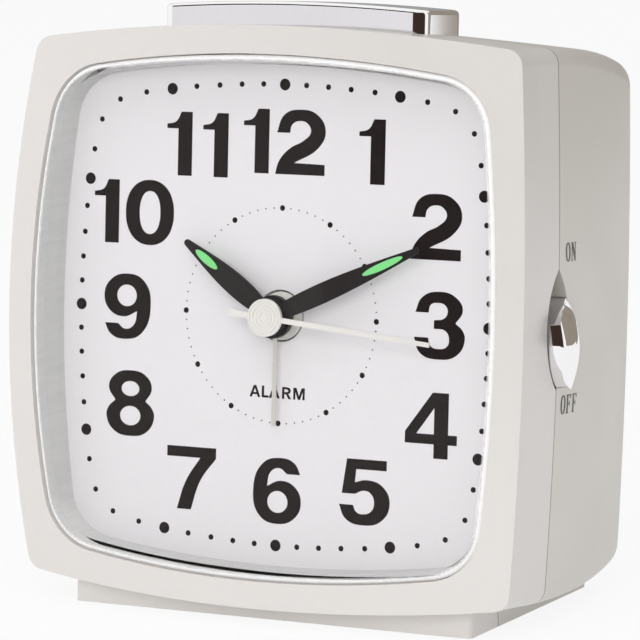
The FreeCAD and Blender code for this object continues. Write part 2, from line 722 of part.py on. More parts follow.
def alarm_switch_body():
    """Slide switch behind the pocket, with three pins."""
    x0, x1 = SWITCH_BODY_X
    half_y, half_z = SWITCH_BODY_HALF
    shell = box(x0, x1, PARTING_Y - half_y, PARTING_Y + half_y, -half_z, half_z)
    slot = box(43.4, x1 + 0.6, PARTING_Y - 1.3, PARTING_Y + 1.3, -6.4, 6.4)
    pins = [box(38.6, x0 + 0.2, PARTING_Y - 0.3, PARTING_Y + 0.3, z - 0.4, z + 0.4) for z in (-4.0, 0.0, 4.0)]
    return fuse(shell.cut(slot), *pins)


def alarm_switch_slider():
    half_y, half_z = STEM_HALF
    socket_y, socket_z = half_y + 0.05, half_z + 0.05
    z_rest = SWITCH_REST_Z
    block = box(43.6, 47.6, PARTING_Y - 1.1, PARTING_Y + 1.1, z_rest - 3.0, z_rest + 3.0)
    socket = box(
        45.5, 49.0, PARTING_Y - socket_y, PARTING_Y + socket_y, z_rest - socket_z, z_rest + socket_z
    )
    return block.cut(socket)


def turned(shape, clockwise_deg):
    """Turns a hand that points to twelve, as someone who reads the dial sees it."""
    shape.rotate(Vector(0, 0, 0), Vector(0, 1, 0), clockwise_deg)
    return shape


def willow_blade(length, root_half, belly_half, belly_at, tip_half, y0, y1, start):
    """Pointed-oval blade: it swells from the hub to the belly and narrows to a round tip."""
    tip_centre = length - tip_half
    side = [
        (root_half, start),
        (belly_half, belly_at),
        (0.62 * belly_half, belly_at + 0.66 * (tip_centre - belly_at)),
        (tip_half, tip_centre),
    ]
    edges = []
    for sx in (1, -1):
        curve = Part.BSplineCurve()
        curve.interpolate([Vector(sx * x, y0, z) for x, z in side])
        edges.append(curve.toShape())
    ends = [Vector(sx * tip_half, y0, tip_centre) for sx in (1, -1)]
    edges.append(Part.Arc(ends[0], Vector(0, y0, length), ends[1]).toShape())
    edges.append(Part.makeLine(Vector(-root_half, y0, start), Vector(root_half, y0, start)))
    wire = Part.Wire(Part.sortEdges(edges)[0])
    return Part.Face(wire).extrude(Vector(0, y1 - y0, 0))


def lume_slot(half_length, half_width, centre, y0, y1):
    """Ellipse along the hand, extruded."""
    end = Vector(0, y0, centre + half_length)
    side = Vector(half_width, y0, centre)
    ellipse = Part.Ellipse(end, side, Vector(0, y0, centre))
    return Part.Face(Part.Wire([ellipse.toShape()])).extrude(Vector(0, y1 - y0, 0))


def slotted_hand(blade, lume, y0, y1, angle):
    """Cuts the lume slot and returns the hand and its filling, both turned to the time."""
    half_length, half_width, centre = lume
    slot = lume_slot(half_length, half_width, centre, y0 - 1, y1 + 1)
    filling = lume_slot(half_length - 0.04, half_width - 0.04, centre, y0 + 0.05, y1)
    return turned(blade.cut(slot), angle), turned(filling, angle)


def hour_hand_pair():
    y0, y1 = HOUR_HAND_Y, HOUR_HAND_Y + HAND_THICK
    hub_r, hub_height = HOUR_HUB
    blade = willow_blade(HOUR_LENGTH, 1.55, 2.15, 9.5, 0.65, y0, y1, 3.0)
    hand = fuse(cyl(hub_r, y0, y0 + hub_height), blade).cut(cyl(HOUR_TUBE_R + PRESS, y0 - 1, y0 + 3))
    return slotted_hand(hand, HOUR_LUME, y0, y1, HOUR_ANGLE)


def minute_hand_pair():
    y0, y1 = MINUTE_HAND_Y, MINUTE_HAND_Y + HAND_THICK
    hub_r, hub_height = MINUTE_HUB
    blade = willow_blade(MINUTE_LENGTH, 1.4, 1.85, 12.5, 0.55, y0, y1, 2.6)
    hand = fuse(cyl(hub_r, y0, y0 + hub_height), blade).cut(cyl(CANNON_R + PRESS, y0 - 1, y0 + 3))
    return slotted_hand(hand, MINUTE_LUME, y0, y1, MINUTE_ANGLE)


def second_hand():
    """Thin baton with a grooved disc over the axis and a tail that widens."""
    y0 = SECOND_HAND_Y
    disc_r, disc_thick = SECOND_DISC
    disc = cyl(disc_r, y0, y0 + disc_thick)
    for radius in DISC_GROOVES:
        disc = disc.cut(ring_groove(radius, *DISC_GROOVE, y0))
    right = [(0.75, -SECOND_TAIL), (0.5, -3.0), (0.5, 3.0), (0.42, SECOND_LENGTH)]
    left = [(-x, z) for x, z in reversed(right)]
    outline = [Vector(x, y0 + 0.2, z) for x, z in right + left]
    baton = Part.Face(Part.makePolygon(outline + outline[:1])).extrude(Vector(0, 0.3, 0))
    boss = cyl(1.1, y0 + 0.5, y0 + 1.4).cut(cyl(ARBOR_R + PRESS, y0 + 0.7, y0 + 2))
    return turned(fuse(disc, baton, boss), SECOND_ANGLE)


def alarm_hand():
    y0 = ALARM_HAND_Y
    hub_r, hub_height = ALARM_HUB
    blade = box(-0.4, 0.4, y0, y0 + HAND_THICK, 3.0, ALARM_LENGTH)
    hand = cyl(hub_r, y0, y0 + hub_height).fuse(blade).cut(cyl(ALARM_TUBE_R + PRESS, y0 - 1, y0 + 3))
    return turned(hand.removeSplitter(), ALARM_ANGLE)


# Angles of the meshes, from +X towards +Z
TO_TIME_SET = 0.0
TO_ALARM_SET = math.pi
TO_THIRD = math.pi / 2
TO_MIDDLE = -math.pi / 2


def alarm_wheel():
    wheel = gear(ALARM_TEETH, MOTION_MODULE, ALARM_WHEEL_Y, ALARM_WHEEL_Y + WHEEL_THICK, 0, 0, 0.0)
    pipe = cyl(ALARM_TUBE_R, ALARM_HAND_Y + 0.05, ALARM_WHEEL_Y + WHEEL_THICK)
    return fuse(wheel, pipe).cut(cyl(HOUR_TUBE_R + RUN, -10, 10))


def hour_wheel():
    wheel = gear(HOUR_TEETH, MOTION_MODULE, HOUR_WHEEL_Y, HOUR_WHEEL_Y + WHEEL_THICK, 0, 0, 0.0)
    pipe = cyl(HOUR_TUBE_R, HOUR_HAND_Y + 0.05, HOUR_WHEEL_Y + WHEEL_THICK)
    return fuse(wheel, pipe).cut(cyl(CANNON_R + RUN, -10, 10))


def cannon_pinion():
    pinion = gear(CANNON_TEETH, CANNON_MODULE, MOTION_WHEEL_Y - 0.5, MOTION_WHEEL_Y + 1.1, 0, 0, 0.0)
    pipe = cyl(CANNON_R, MINUTE_HAND_Y + 0.05, MINUTE_WHEEL_Y + WHEEL_THICK + 0.2)
    return fuse(pinion, pipe).cut(cyl(ARBOR_R + RUN, -10, 20))


def minute_wheel():
    """Wheel that grips the cannon by friction, so the hands can be set while the train stands."""
    wheel = gear(MINUTE_TEETH, MINUTE_MODULE, MINUTE_WHEEL_Y, MINUTE_WHEEL_Y + WHEEL_THICK, 0, 0, 0.0)
    return wheel.cut(cyl(CANNON_R + 0.02, 5, 15))


def setting_shaft(place, shoulder_y):
    """Pivot in the front housing and shaft to the rear knob."""
    x, z = place
    return [cyl(0.6, MOVEMENT_FRONT_Y + 0.1, 6.0, x, z), cyl(SETTING_SHAFT_R, shoulder_y, SHAFT_END_Y, x, z)]


def time_set_wheel():
    """Wheel driven by the cannon, with the pinion that drives the hour wheel."""
    x, z = TIME_SET
    wheel_phase = meshing_phase(0.0, CANNON_TEETH, MOTION_TEETH, TO_TIME_SET)
    pinion_phase = meshing_phase(0.0, HOUR_TEETH, SET_PINION_TEETH, TO_TIME_SET)
    wheel = gear(MOTION_TEETH, CANNON_MODULE, MOTION_WHEEL_Y, MOTION_WHEEL_Y + WHEEL_THICK, x, z, wheel_phase)
    pinion = gear(SET_PINION_TEETH, MOTION_MODULE, HOUR_WHEEL_Y - 0.3, MOTION_WHEEL_Y + 0.1, x, z, pinion_phase)
    return fuse(wheel, pinion, *setting_shaft(TIME_SET, MOTION_WHEEL_Y - 0.5))


def alarm_set_wheel():
    x, z = ALARM_SET
    y0, y1 = ALARM_WHEEL_Y - 0.15, ALARM_WHEEL_Y + 0.75
    phase = meshing_phase(0.0, ALARM_TEETH, SET_PINION_TEETH, TO_ALARM_SET)
    pinion = gear(SET_PINION_TEETH, MOTION_MODULE, y0, y1, x, z, phase)
    return fuse(pinion, *setting_shaft(ALARM_SET, y1 - 0.15))


def third_wheel():
    x, z = THIRD_PLACE
    pinion_phase = meshing_phase(0.0, MINUTE_TEETH, THIRD_PINION_TEETH, TO_THIRD)
    wheel_phase = meshing_phase(0.0, SECOND_PINION_TEETH, THIRD_TEETH, TO_THIRD)
    pinion = gear(THIRD_PINION_TEETH, MINUTE_MODULE, MINUTE_WHEEL_Y - 0.2, THIRD_WHEEL_Y - 0.5, x, z, pinion_phase)
    wheel = gear(THIRD_TEETH, THIRD_MODULE, THIRD_WHEEL_Y, THIRD_WHEEL_Y + WHEEL_THICK, x, z, wheel_phase)
    return fuse(pinion, wheel, cyl(PIVOT_R, TRAIN_START_Y, TRAIN_END_Y, x, z))


def second_wheel():
    """Wheel whose arbor carries the second hand through the cannon."""
    pinion = gear(SECOND_PINION_TEETH, THIRD_MODULE, THIRD_WHEEL_Y - 0.2, SECOND_WHEEL_Y - 0.5, 0, 0, 0.0)
    wheel = gear(SECOND_TEETH, TRAIN_MODULE, SECOND_WHEEL_Y, SECOND_WHEEL_Y + WHEEL_THICK, 0, 0, 0.0)
    arbor = cyl(ARBOR_R, SECOND_HAND_Y + 0.75, TRAIN_END_Y)
    return fuse(pinion, wheel, arbor, cyl(0.62, SECOND_WHEEL_Y - WHEEL_THICK, SECOND_WHEEL_Y + 0.1))


def middle_wheel():
    x, z = MIDDLE_PLACE
    pinion_phase = meshing_phase(0.0, SECOND_TEETH, MIDDLE_PINION_TEETH, TO_MIDDLE)
    pinion = gear(
        MIDDLE_PINION_TEETH, TRAIN_MODULE, SECOND_WHEEL_Y - 0.25, MIDDLE_WHEEL_Y + 0.05, x, z, pinion_phase
    )
    wheel = gear(MIDDLE_TEETH, TRAIN_MODULE, MIDDLE_WHEEL_Y, MIDDLE_WHEEL_Y + WHEEL_THICK, x, z, ROTOR_DIRECTION)
    return fuse(pinion, wheel, cyl(PIVOT_R, TRAIN_START_Y, TRAIN_END_Y, x, z))


def rotor():
    """Round magnet with the pinion that drives the train."""
    x, z = ROTOR_PLACE
    phase = meshing_phase(ROTOR_DIRECTION, MIDDLE_TEETH, ROTOR_TEETH, ROTOR_DIRECTION)
    pinion = gear(ROTOR_TEETH, TRAIN_MODULE, MIDDLE_WHEEL_Y - 0.2, ROTOR_Y + 0.05, x, z, phase)
    magnet = cyl(MAGNET_R, ROTOR_Y, ROTOR_Y + 2.0, x, z)
    return fuse(pinion, magnet, cyl(ROTOR_PIVOT_R, TRAIN_START_Y, TRAIN_END_Y, x, z))


def stator():
    """Laminated loop: the rotor turns in one limb and the coil sits on the other."""
    x, z = ROTOR_PLACE
    y0, y1 = STATOR_Y
    window_half, window_bottom, window_top = STATOR_WINDOW
    loop = box(-STATOR_HALF, STATOR_HALF, y0, y1, *STATOR_Z)
    window = box(-window_half, window_half, y0 - 1, y1 + 1, window_bottom, window_top)
    return loop.cut(window).cut(cyl(ROTOR_HOLE_R, y0 - 1, y1 + 1, x, z))


def coil_bobbin():
    """Former on the stator's lower limb: a square tube between two flanges."""
    y0, y1 = STATOR_Y
    bottom, top = STATOR_Z[0], STATOR_WINDOW[1]
    core = box(-COIL_HALF, COIL_HALF, y0 - 0.7, y1 + 0.7, bottom - 0.7, top + 0.7)
    flanges = [box(x, x + 0.8, y0 - 1.6, y1 + 1.3, bottom - 1.4, top + 2.5) for x in (-COIL_HALF - 0.8, COIL_HALF)]
    tunnel = box(-13.0, 13.0, y0 - 0.05, y1 + 0.05, bottom - 0.1, top + 0.1)
    return fuse(core, *flanges).cut(tunnel)


def coil_winding():
    """The wound wire as one closed body round the bobbin."""
    y0, y1 = STATOR_Y
    bottom, top = STATOR_Z[0], STATOR_WINDOW[1]
    half = COIL_HALF - 0.1
    block = box(-half, half, y0 - 1.4, y1 + 1.2, bottom - 1.3, top + 1.4)
    block = with_rounded_edges(block, Vector(1, 0, 0), 0.5)
    return block.cut(box(-12.0, 12.0, y0 - 0.75, y1 + 0.75, bottom - 0.75, top + 0.75))


def movement_box(inset, y0, y1, corner):
    """Block of the movement's outline, drawn in by inset."""
    return rounded_plate_y(
        -MOVEMENT_HALF + inset,
        MOVEMENT_HALF - inset,
        y0,
        y1,
        MOVEMENT_BOTTOM + inset,
        MOVEMENT_TOP - inset,
        corner,
    )


def movement_front_housing():
    """Open box with the bush for the hands' tubes, two ears and posts for the bridge."""
    y0, y1 = MOVEMENT_FRONT_Y, MOVEMENT_BACK_Y - 0.1
    shell = movement_box(0.0, y0, y1, MOVEMENT_CORNER)
    shell = shell.cut(movement_box(MOVEMENT_WALL, y0 + 1.0, y1 + 1, MOVEMENT_CORNER - MOVEMENT_WALL))
    ear_y = (5.5, 6.5)
    ears = []
    for x, z in movement_ear_places():
        x0, x1 = sorted((math.copysign(22.5, x), x + math.copysign(0.4, x)))
        ears.append(box(x0, x1, *ear_y, z - 2.0, z + 2.0))
        ears.append(cyl(2.0, *ear_y, x, z))
    bush = cyl(BUSH_R, 0.3, y0 + 0.5)
    posts = [cyl(1.5, y0 + 0.5, BRIDGE_Y - 0.05, x, z) for x, z in bridge_posts()]
    holes = [cyl(ALARM_TUBE_R + RUN, -1, y0 + 2)]
    holes += [cyl(0.65, y0 - 1, y0 + 2, x, z) for x, z in (TIME_SET, ALARM_SET)]
    holes += [cyl(0.95, 5.0, 7.0, x, z) for x, z in movement_ear_places()]
    return fuse(shell, bush, *ears, *posts).cut(holes)


def bridge_posts():
    return [(-17.0, 15.5), (17.0, 15.5), (-17.0, -21.5), (17.0, -21.5)]


def train_bridge():
    """Plate between the setting wheels and the running train."""
    y0, y1 = BRIDGE_Y, BRIDGE_Y + 0.8
    plate = rounded_plate_y(-20.0, 20.0, y0, y1, -24.5, 18.5, 2.5)
    bores = [(CANNON_R, (0.0, 0.0)), (PIVOT_R, THIRD_PLACE), (PIVOT_R, MIDDLE_PLACE), (ROTOR_PIVOT_R, ROTOR_PLACE)]
    bores += [(SETTING_SHAFT_R + 0.14, place) for place in (TIME_SET, ALARM_SET)]
    return plate.cut([cyl(radius + RUN, y0 - 1, y1 + 1, *place) for radius, place in bores])


def movement_back_housing():
    """Lid of the movement with blind bearings for the train and bosses for the setting shafts."""
    y0, y1 = MOVEMENT_BACK_Y, MOVEMENT_END_Y
    plate = movement_box(0.0, y0, y1, MOVEMENT_CORNER)
    lip = movement_box(MOVEMENT_WALL + 0.2, y0 - 0.8, y0 + 0.2, 1.6)
    lip = lip.cut(movement_box(MOVEMENT_WALL + 1.2, y0 - 2, y0 + 1, 1.2))
    over_coil = box(-13.5, 13.5, y0 - 2, y0, -30.0, -18.0)
    over_board = box(-21.0, 21.0, y0 - 2, y0, 9.0, MOVEMENT_TOP)
    bosses = [cyl(1.6, y1 - 0.2, y1 + 1.2, x, z) for x, z in (TIME_SET, ALARM_SET)]
    plate = fuse(plate, lip.cut([over_coil, over_board]), *bosses)
    bearings = [(ARBOR_R, (0.0, 0.0)), (PIVOT_R, THIRD_PLACE), (PIVOT_R, MIDDLE_PLACE), (ROTOR_PIVOT_R, ROTOR_PLACE)]
    holes = [cyl(radius + RUN, y0 - 1, y0 + PIVOT_DEPTH + 0.1, *place) for radius, place in bearings]
    holes += [cyl(SETTING_SHAFT_R + RUN, y0 - 1, y1 + 3, x, z) for x, z in (TIME_SET, ALARM_SET)]
    return plate.cut(holes)


def circuit_board():
    board = rounded_plate_y(-20.5, 20.5, *BOARD_Y, *BOARD_Z, 1.0)
    return board.cut([cyl(0.8, 15.0, 18.0, x, 17.0) for x in (-17.0, 17.0)])


def quartz_crystal():
    """Can with two leads, lying on the board's front."""
    radius, length = CRYSTAL
    start = Vector(-15.0, BOARD_Y[0] - radius - 0.05, 14.6)
    can = Part.makeCylinder(radius, length, start, Vector(1, 0, 0))
    lead_start = start + Vector(length - 0.1, 0, 0)
    leads = [Part.makeCylinder(0.18, 2.2, lead_start + Vector(0, 0, dz), Vector(1, 0, 0)) for dz in (-0.45, 0.45)]
    return fuse(can, *leads)


def chip():
    """The drop of resin over the chip: the cap of a ball on the board's front."""
    x, z = CHIP_PLACE
    face_y = BOARD_Y[0] - 0.05
    ball = Part.makeSphere(CHIP_BALL_R, Vector(x, face_y + 2.4, z))
    return ball.common(box(x - 4.0, x + 4.0, face_y - 2.0, face_y, z - 4.0, z + 4.0))


def set_knob(place):
    """Fluted knob on a long shank that reaches the movement through the rear case."""
    x, z = place
    y0, y1 = KNOB_GRIP_Y
    grip = cyl(KNOB_R, y0, y1, x, z)
    rim = [e for e in grip.Edges if e.Closed and e.BoundBox.YMin > y1 - 0.1]
    grip = grip.makeFillet(0.7, rim)
    flutes = []
    for k in range(KNOB_FLUTES):
        angle = 2 * math.pi * k / KNOB_FLUTES
        reach = KNOB_R + FLUTE_R - 0.35
        flutes.append(cyl(FLUTE_R, y0 - 1, y1 + 1, x + reach * math.cos(angle), z + reach * math.sin(angle)))
    shank = cyl(KNOB_SHANK_R, KNOB_SHANK_Y, y0 + 0.5, x, z)
    socket = cyl(SETTING_SHAFT_R + 0.04, KNOB_SHANK_Y - 0.5, SHAFT_END_Y + 0.2, x, z)
    return fuse(grip.cut(flutes), shank.cut(socket))


def battery_door():
    """Flat door with a round hinge edge, two pins and three grip ribs."""
    half_thick = DOOR_THICK / 2
    y0, y1 = DOOR_HINGE_Y - half_thick, DOOR_HINGE_Y + half_thick
    plate = box(-DOOR_HALF, DOOR_HALF, y0, y1, DOOR_HINGE_Z, DOOR_TOP)
    edge = cyl_x(half_thick, -DOOR_HALF, DOOR_HALF, DOOR_HINGE_Y, DOOR_HINGE_Z)
    pin_end = DOOR_HALF + PIN_REACH
    pins = cyl_x(PIN_R, -pin_end, pin_end, DOOR_HINGE_Y, DOOR_HINGE_Z)
    ribs = [box(-20, 20, y1 - 0.1, y1 + 0.35, z, z + 0.7) for z in (-30.5, -28.6, -26.7)]
    return fuse(plate, edge, pins, *ribs)


def aa_cell():
    can = cyl_x(CELL_R, CELL_START_X, CELL_START_X + CELL_LENGTH, CELL_Y, CELL_Z)
    can = can.makeFillet(0.8, [e for e in can.Edges if e.Closed])
    stud_x = CELL_START_X + CELL_LENGTH - 0.1
    return fuse(can, cyl_x(STUD_R, stud_x, stud_x + STUD_LENGTH, CELL_Y, CELL_Z))


def contact_plate(x0, half_height):
    """Strip that stands across the end of the battery bay."""
    return box(x0, x0 + CONTACT_THICK, CELL_Y - 5.0, CELL_Y + 5.0, CELL_Z - half_height, CELL_Z + half_height)


def positive_contact():
    """Strip at the right end of the bay with a bump that meets the cell's stud."""
    x0 = BAY_HALF - 0.15 - CONTACT_THICK
    stud_end = CELL_START_X + CELL_LENGTH - 0.1 + STUD_LENGTH
    bump = cyl_x(2.2, stud_end + 0.3, x0 + 0.1, CELL_Y, CELL_Z)
    return fuse(contact_plate(x0, 5.2), bump)


def spring_contact():
    """Strip at the left end of the bay with a conical spring that presses on the cell."""
    x0 = -BAY_HALF + 0.1
    first_x = x0 + CONTACT_THICK + CONTACT_WIRE_R
    last_x = CELL_START_X - CONTACT_WIRE_R - 0.05
    spring = coil(CONTACT_WIRE_R, *CONTACT_SPRING_R, last_x - first_x, CONTACT_SPRING_TURNS)
    spring.rotate(Vector(0, 0, 0), Vector(0, 1, 0), 90)
    spring.translate(Vector(first_x, CELL_Y, CELL_Z))
    return [contact_plate(x0, 5.0), spring]


def buzzer():
    """Round can with a sound hole towards the slots."""
    front = BUZZER_BACK - 5.7
    can = cyl(BUZZER_R, front, BUZZER_BACK, 0.0, BUZZER_Z)
    rim = [e for e in can.Edges if e.Closed and e.BoundBox.YMax < front + 0.1]
    can = can.makeFillet(0.8, rim)
    return can.cut(cyl(1.6, BUZZER_BACK - 2.2, BUZZER_BACK + 1, 0.0, BUZZER_Z))


def lamp_board():
    return rounded_plate_y(-9.0, 9.0, 0.3, 0.9, 48.3, 50.9, 0.5)


def dial_lamp():
    """Small lamp in the notch of the lens, whose edge carries its light over the dial."""
    return rounded_plate_y(-LAMP_HALF, LAMP_HALF, -1.25, 0.3, *LAMP_Z, 0.3)


def lean_back(shape):
    """Moves a shape from the dial frame to the clock standing on its foot."""
    middle_y = (FOOT_FRONT + FOOT_BACK) / 2
    shape = shape.copy()
    shape.translate(Vector(0, -middle_y, -foot_line(middle_y)))
    shape.rotate(Vector(0, 0, 0), Vector(1, 0, 0), -LEAN_DEG)
    return shape


def save(name, shape):
    if isinstance(shape, list):
        shape = Part.makeCompound([lean_back(s) for s in shape])
    else:
        shape = lean_back(shape)
    solids = shape.Solids
    bad = [s for s in solids if not s.isValid() or s.Volume <= 0]
    print("%-24s solids %d  volume %9.2f  %s" % (name, len(solids), shape.Volume, "BAD" if bad else "ok"))
    if len(solids) == 1:
        shape = solids[0]
    shape.exportStep("parts/%s.step" % name)


os.makedirs("parts", exist_ok=True)

hour_hand_shape, hour_lume_shape = hour_hand_pair()
minute_hand_shape, minute_lume_shape = minute_hand_pair()

save("front_case", front_case())
save("rear_case", rear_case())
save("lens", lens())
save("dial", dial())
save("dial_carrier", dial_carrier())
save("case_screws", pan_screws(CASE_SCREW, TUNNEL_SEAT_Y, case_screw_places()))
save("carrier_screws", pan_screws(CARRIER_SCREW, CARRIER_Y[1] + 0.05, four_places(EAR_PLACE)))
save("movement_screws", pan_screws(MOVEMENT_SCREW, 6.5, movement_ear_places()))
save("snooze_bar", snooze_bar())
save("bar_springs", bar_springs())
save("light_contact", light_contact())
save("alarm_switch_knob", alarm_switch_knob())
save("alarm_switch_body", alarm_switch_body())
save("alarm_switch_slider", alarm_switch_slider())
save("hour_hand", hour_hand_shape)
save("hour_hand_lume", hour_lume_shape)
save("minute_hand", minute_hand_shape)
save("minute_hand_lume", minute_lume_shape)
save("second_hand", second_hand())
save("alarm_hand", alarm_hand())
save("alarm_wheel", alarm_wheel())
save("hour_wheel", hour_wheel())
save("cannon_pinion", cannon_pinion())
save("minute_wheel", minute_wheel())
save("time_set_wheel", time_set_wheel())
save("alarm_set_wheel", alarm_set_wheel())
save("third_wheel", third_wheel())
save("second_wheel", second_wheel())
save("middle_wheel", middle_wheel())
save("rotor", rotor())
save("stator", stator())
save("coil_bobbin", coil_bobbin())
save("coil_winding", coil_winding())
save("movement_front_housing", movement_front_housing())
save("train_bridge", train_bridge())
save("movement_back_housing", movement_back_housing())
save("circuit_board", circuit_board())
save("quartz_crystal", quartz_crystal())
save("chip", chip())
save("time_set_knob", set_knob(TIME_SET))
save("alarm_set_knob", set_knob(ALARM_SET))
save("battery_door", battery_door())
save("aa_cell", aa_cell())
save("positive_contact", positive_contact())
save("spring_contact", spring_contact())
save("buzzer", buzzer())
save("lamp_board", lamp_board())
save("dial_lamp", dial_lamp())
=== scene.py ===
import math

import bmesh
import bpy
from mathutils import Matrix, Vector
from mathutils.bvhtree import BVHTree


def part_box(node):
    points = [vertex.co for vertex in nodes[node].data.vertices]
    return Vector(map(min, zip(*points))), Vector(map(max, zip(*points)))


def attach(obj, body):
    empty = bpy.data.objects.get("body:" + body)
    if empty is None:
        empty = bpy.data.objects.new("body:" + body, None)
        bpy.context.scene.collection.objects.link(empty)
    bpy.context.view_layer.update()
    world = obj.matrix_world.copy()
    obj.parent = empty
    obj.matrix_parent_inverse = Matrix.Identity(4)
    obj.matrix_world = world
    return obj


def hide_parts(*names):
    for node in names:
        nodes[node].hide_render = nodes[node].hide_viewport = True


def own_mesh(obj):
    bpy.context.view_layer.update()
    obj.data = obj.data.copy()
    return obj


# Analog bedside alarm clock: finishes, dial printing, switch lettering, light and camera.
# The clock's front faces -Y. Its dial frame has the hands' axis as origin, X to the right,
# Y into the clock and Z up along the dial, in millimetres. The clock leans back by LEAN.

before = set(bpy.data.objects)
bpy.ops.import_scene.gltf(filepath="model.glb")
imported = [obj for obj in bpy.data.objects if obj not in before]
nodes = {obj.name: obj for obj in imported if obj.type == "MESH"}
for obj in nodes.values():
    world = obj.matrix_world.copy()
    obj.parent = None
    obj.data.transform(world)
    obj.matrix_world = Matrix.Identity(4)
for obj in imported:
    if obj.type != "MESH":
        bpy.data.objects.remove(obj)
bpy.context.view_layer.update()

MM = 0.001
LEAN = math.radians(4.65)
ORIGIN_BEFORE_LEAN = (0, -23.0, 54.3665)  # mm, the dial frame's origin in the upright clock
DIAL_FRAME = (
    Matrix.Scale(MM, 4)
    @ Matrix.Rotation(-LEAN, 4, "X")
    @ Matrix.Translation(ORIGIN_BEFORE_LEAN)
)


def on_dial(x, y, z):
    """A point of the dial frame in mm, as a point of the scene in metres."""
    return DIAL_FRAME @ Vector((x, y, z))


def turned(direction):
    """A direction of the dial frame in the scene."""
    return (DIAL_FRAME.to_3x3() @ Vector(direction)).normalized()


# Shading


def is_socket(value):
    return isinstance(value, bpy.types.NodeSocket)


def feed(tree, value, socket):
    """Gives a socket what another socket sends, or a fixed value."""
    if is_socket(value):
        tree.links.new(value, socket)
    else:
        socket.default_value = value


def preset(node, values):
    """Sets a node's own sockets by their names."""
    for name, value in values.items():
        node.inputs[name].default_value = value


def maths(tree, operation, *values):
    """The result of a calculation on numbers and sockets."""
    node = tree.nodes.new("ShaderNodeMath")
    node.operation = operation
    for value, socket in zip(values, node.inputs):
        feed(tree, value, socket)
    return node.outputs[0]


def vector_maths(tree, operation, result, *values):
    """The result, "Value" or "Vector", of a calculation on vectors and sockets."""
    node = tree.nodes.new("ShaderNodeVectorMath")
    node.operation = operation
    for value, socket in zip(values, node.inputs):
        feed(tree, value, socket)
    return node.outputs[result]


def ramp(tree, source, start, end, low=0.0, high=1.0):
    """A number that goes from low to high as the source goes from start to end."""
    node = tree.nodes.new("ShaderNodeMapRange")
    preset(node, {"From Min": start, "From Max": end, "To Min": low, "To Max": high})
    feed(tree, source, node.inputs["Value"])
    return node.outputs["Result"]


def noise(tree, where, size_mm, detail=2.0, stretch=(1, 1, 1)):
    """A noise with features about size_mm across, drawn out along an axis by a small stretch."""
    mapping = tree.nodes.new("ShaderNodeMapping")
    mapping.inputs["Scale"].default_value = [s / (size_mm * MM) for s in stretch]
    feed(tree, where, mapping.inputs["Vector"])
    texture = tree.nodes.new("ShaderNodeTexNoise")
    preset(texture, {"Scale": 1.0, "Detail": detail})
    feed(tree, mapping.outputs["Vector"], texture.inputs["Vector"])
    return texture.outputs["Fac"]


NOISE_RANGE = (0.3, 0.7)  # most of a noise's values lie in here


def spread_value(tree, source, low, high):
    """The middle of a noise's range mapped to low..high."""
    return ramp(tree, source, *NOISE_RANGE, low, high)


def mix_colour(tree, factor, first, second):
    """A colour between first and second; each is a colour or a socket."""
    node = tree.nodes.new("ShaderNodeMix")
    node.data_type = "RGBA"
    feed(tree, factor, node.inputs["Factor"])
    for name, value in (("A", first), ("B", second)):
        socket = [s for s in node.inputs if s.name == name and s.type == "RGBA"][0]
        feed(tree, value if is_socket(value) else (*value, 1), socket)
    return [s for s in node.outputs if s.type == "RGBA"][0]


def around(value, share):
    """A value less and more by a share of itself."""
    return value * (1 - share), value * (1 + share)


def bumped(tree, height, depth_mm, shader):
    node = tree.nodes.new("ShaderNodeBump")
    preset(node, {"Distance": depth_mm * MM, "Strength": 1.0})
    feed(tree, height, node.inputs["Height"])
    feed(tree, node.outputs["Normal"], shader.inputs["Normal"])


def blank(name):
    """A new material with its node tree, its main shader and the place on the object."""
    material = bpy.data.materials.new(name)
    material.use_nodes = True
    tree = material.node_tree
    shader = tree.nodes["Principled BSDF"]
    where = tree.nodes.new("ShaderNodeTexCoord").outputs["Object"]
    return material, tree, shader, where


def mixed(tree, share, first, second):
    """The first shader for a share of 0, the second for 1; the share is a number or a socket."""
    node = tree.nodes.new("ShaderNodeMixShader")
    feed(tree, share, node.inputs[0])
    feed(tree, first.outputs[0], node.inputs[1])
    feed(tree, second.outputs[0], node.inputs[2])
    return node


def show(tree, shader):
    """Makes this shader the one that the surface shows."""
    feed(tree, shader.outputs[0], tree.nodes["Material Output"].inputs["Surface"])


def any_ray(tree, *kinds):
    """1 for rays of any of these kinds."""
    path = tree.nodes.new("ShaderNodeLightPath")
    found = path.outputs[kinds[0]]
    for kind in kinds[1:]:
        found = maths(tree, "MAXIMUM", found, path.outputs[kind])
    return found


DOME_RADIUS = 308.6  # mm, sphere of the joint between front and rear case
SEAM_APEX_Y = 1.69  # mm, where that sphere crosses the hands' axis
SEAM_COLOUR = (0.16, 0.15, 0.135)
SEAM_CORE, SEAM_REACH = 0.07, 0.17  # mm to each side: fully dark, and fading out


def seam_share(tree, where):
    """1 in the fine dark gap where the two halves of the case meet, 0 beside it."""
    centre = on_dial(0, SEAM_APEX_Y + DOME_RADIUS, 0)
    reach = vector_maths(tree, "DISTANCE", "Value", where, centre)
    offset = maths(tree, "SUBTRACT", reach, DOME_RADIUS * MM)
    return ramp(tree, maths(tree, "ABSOLUTE", offset), SEAM_REACH * MM, SEAM_CORE * MM)


DRIFT_SIZE = 14.0  # mm, the slow change of colour and gloss over a surface
DRIFT_SHARE = 0.4
GLOSS_DRIFT = 0.1
COAT_ROUGHNESS = 0.12


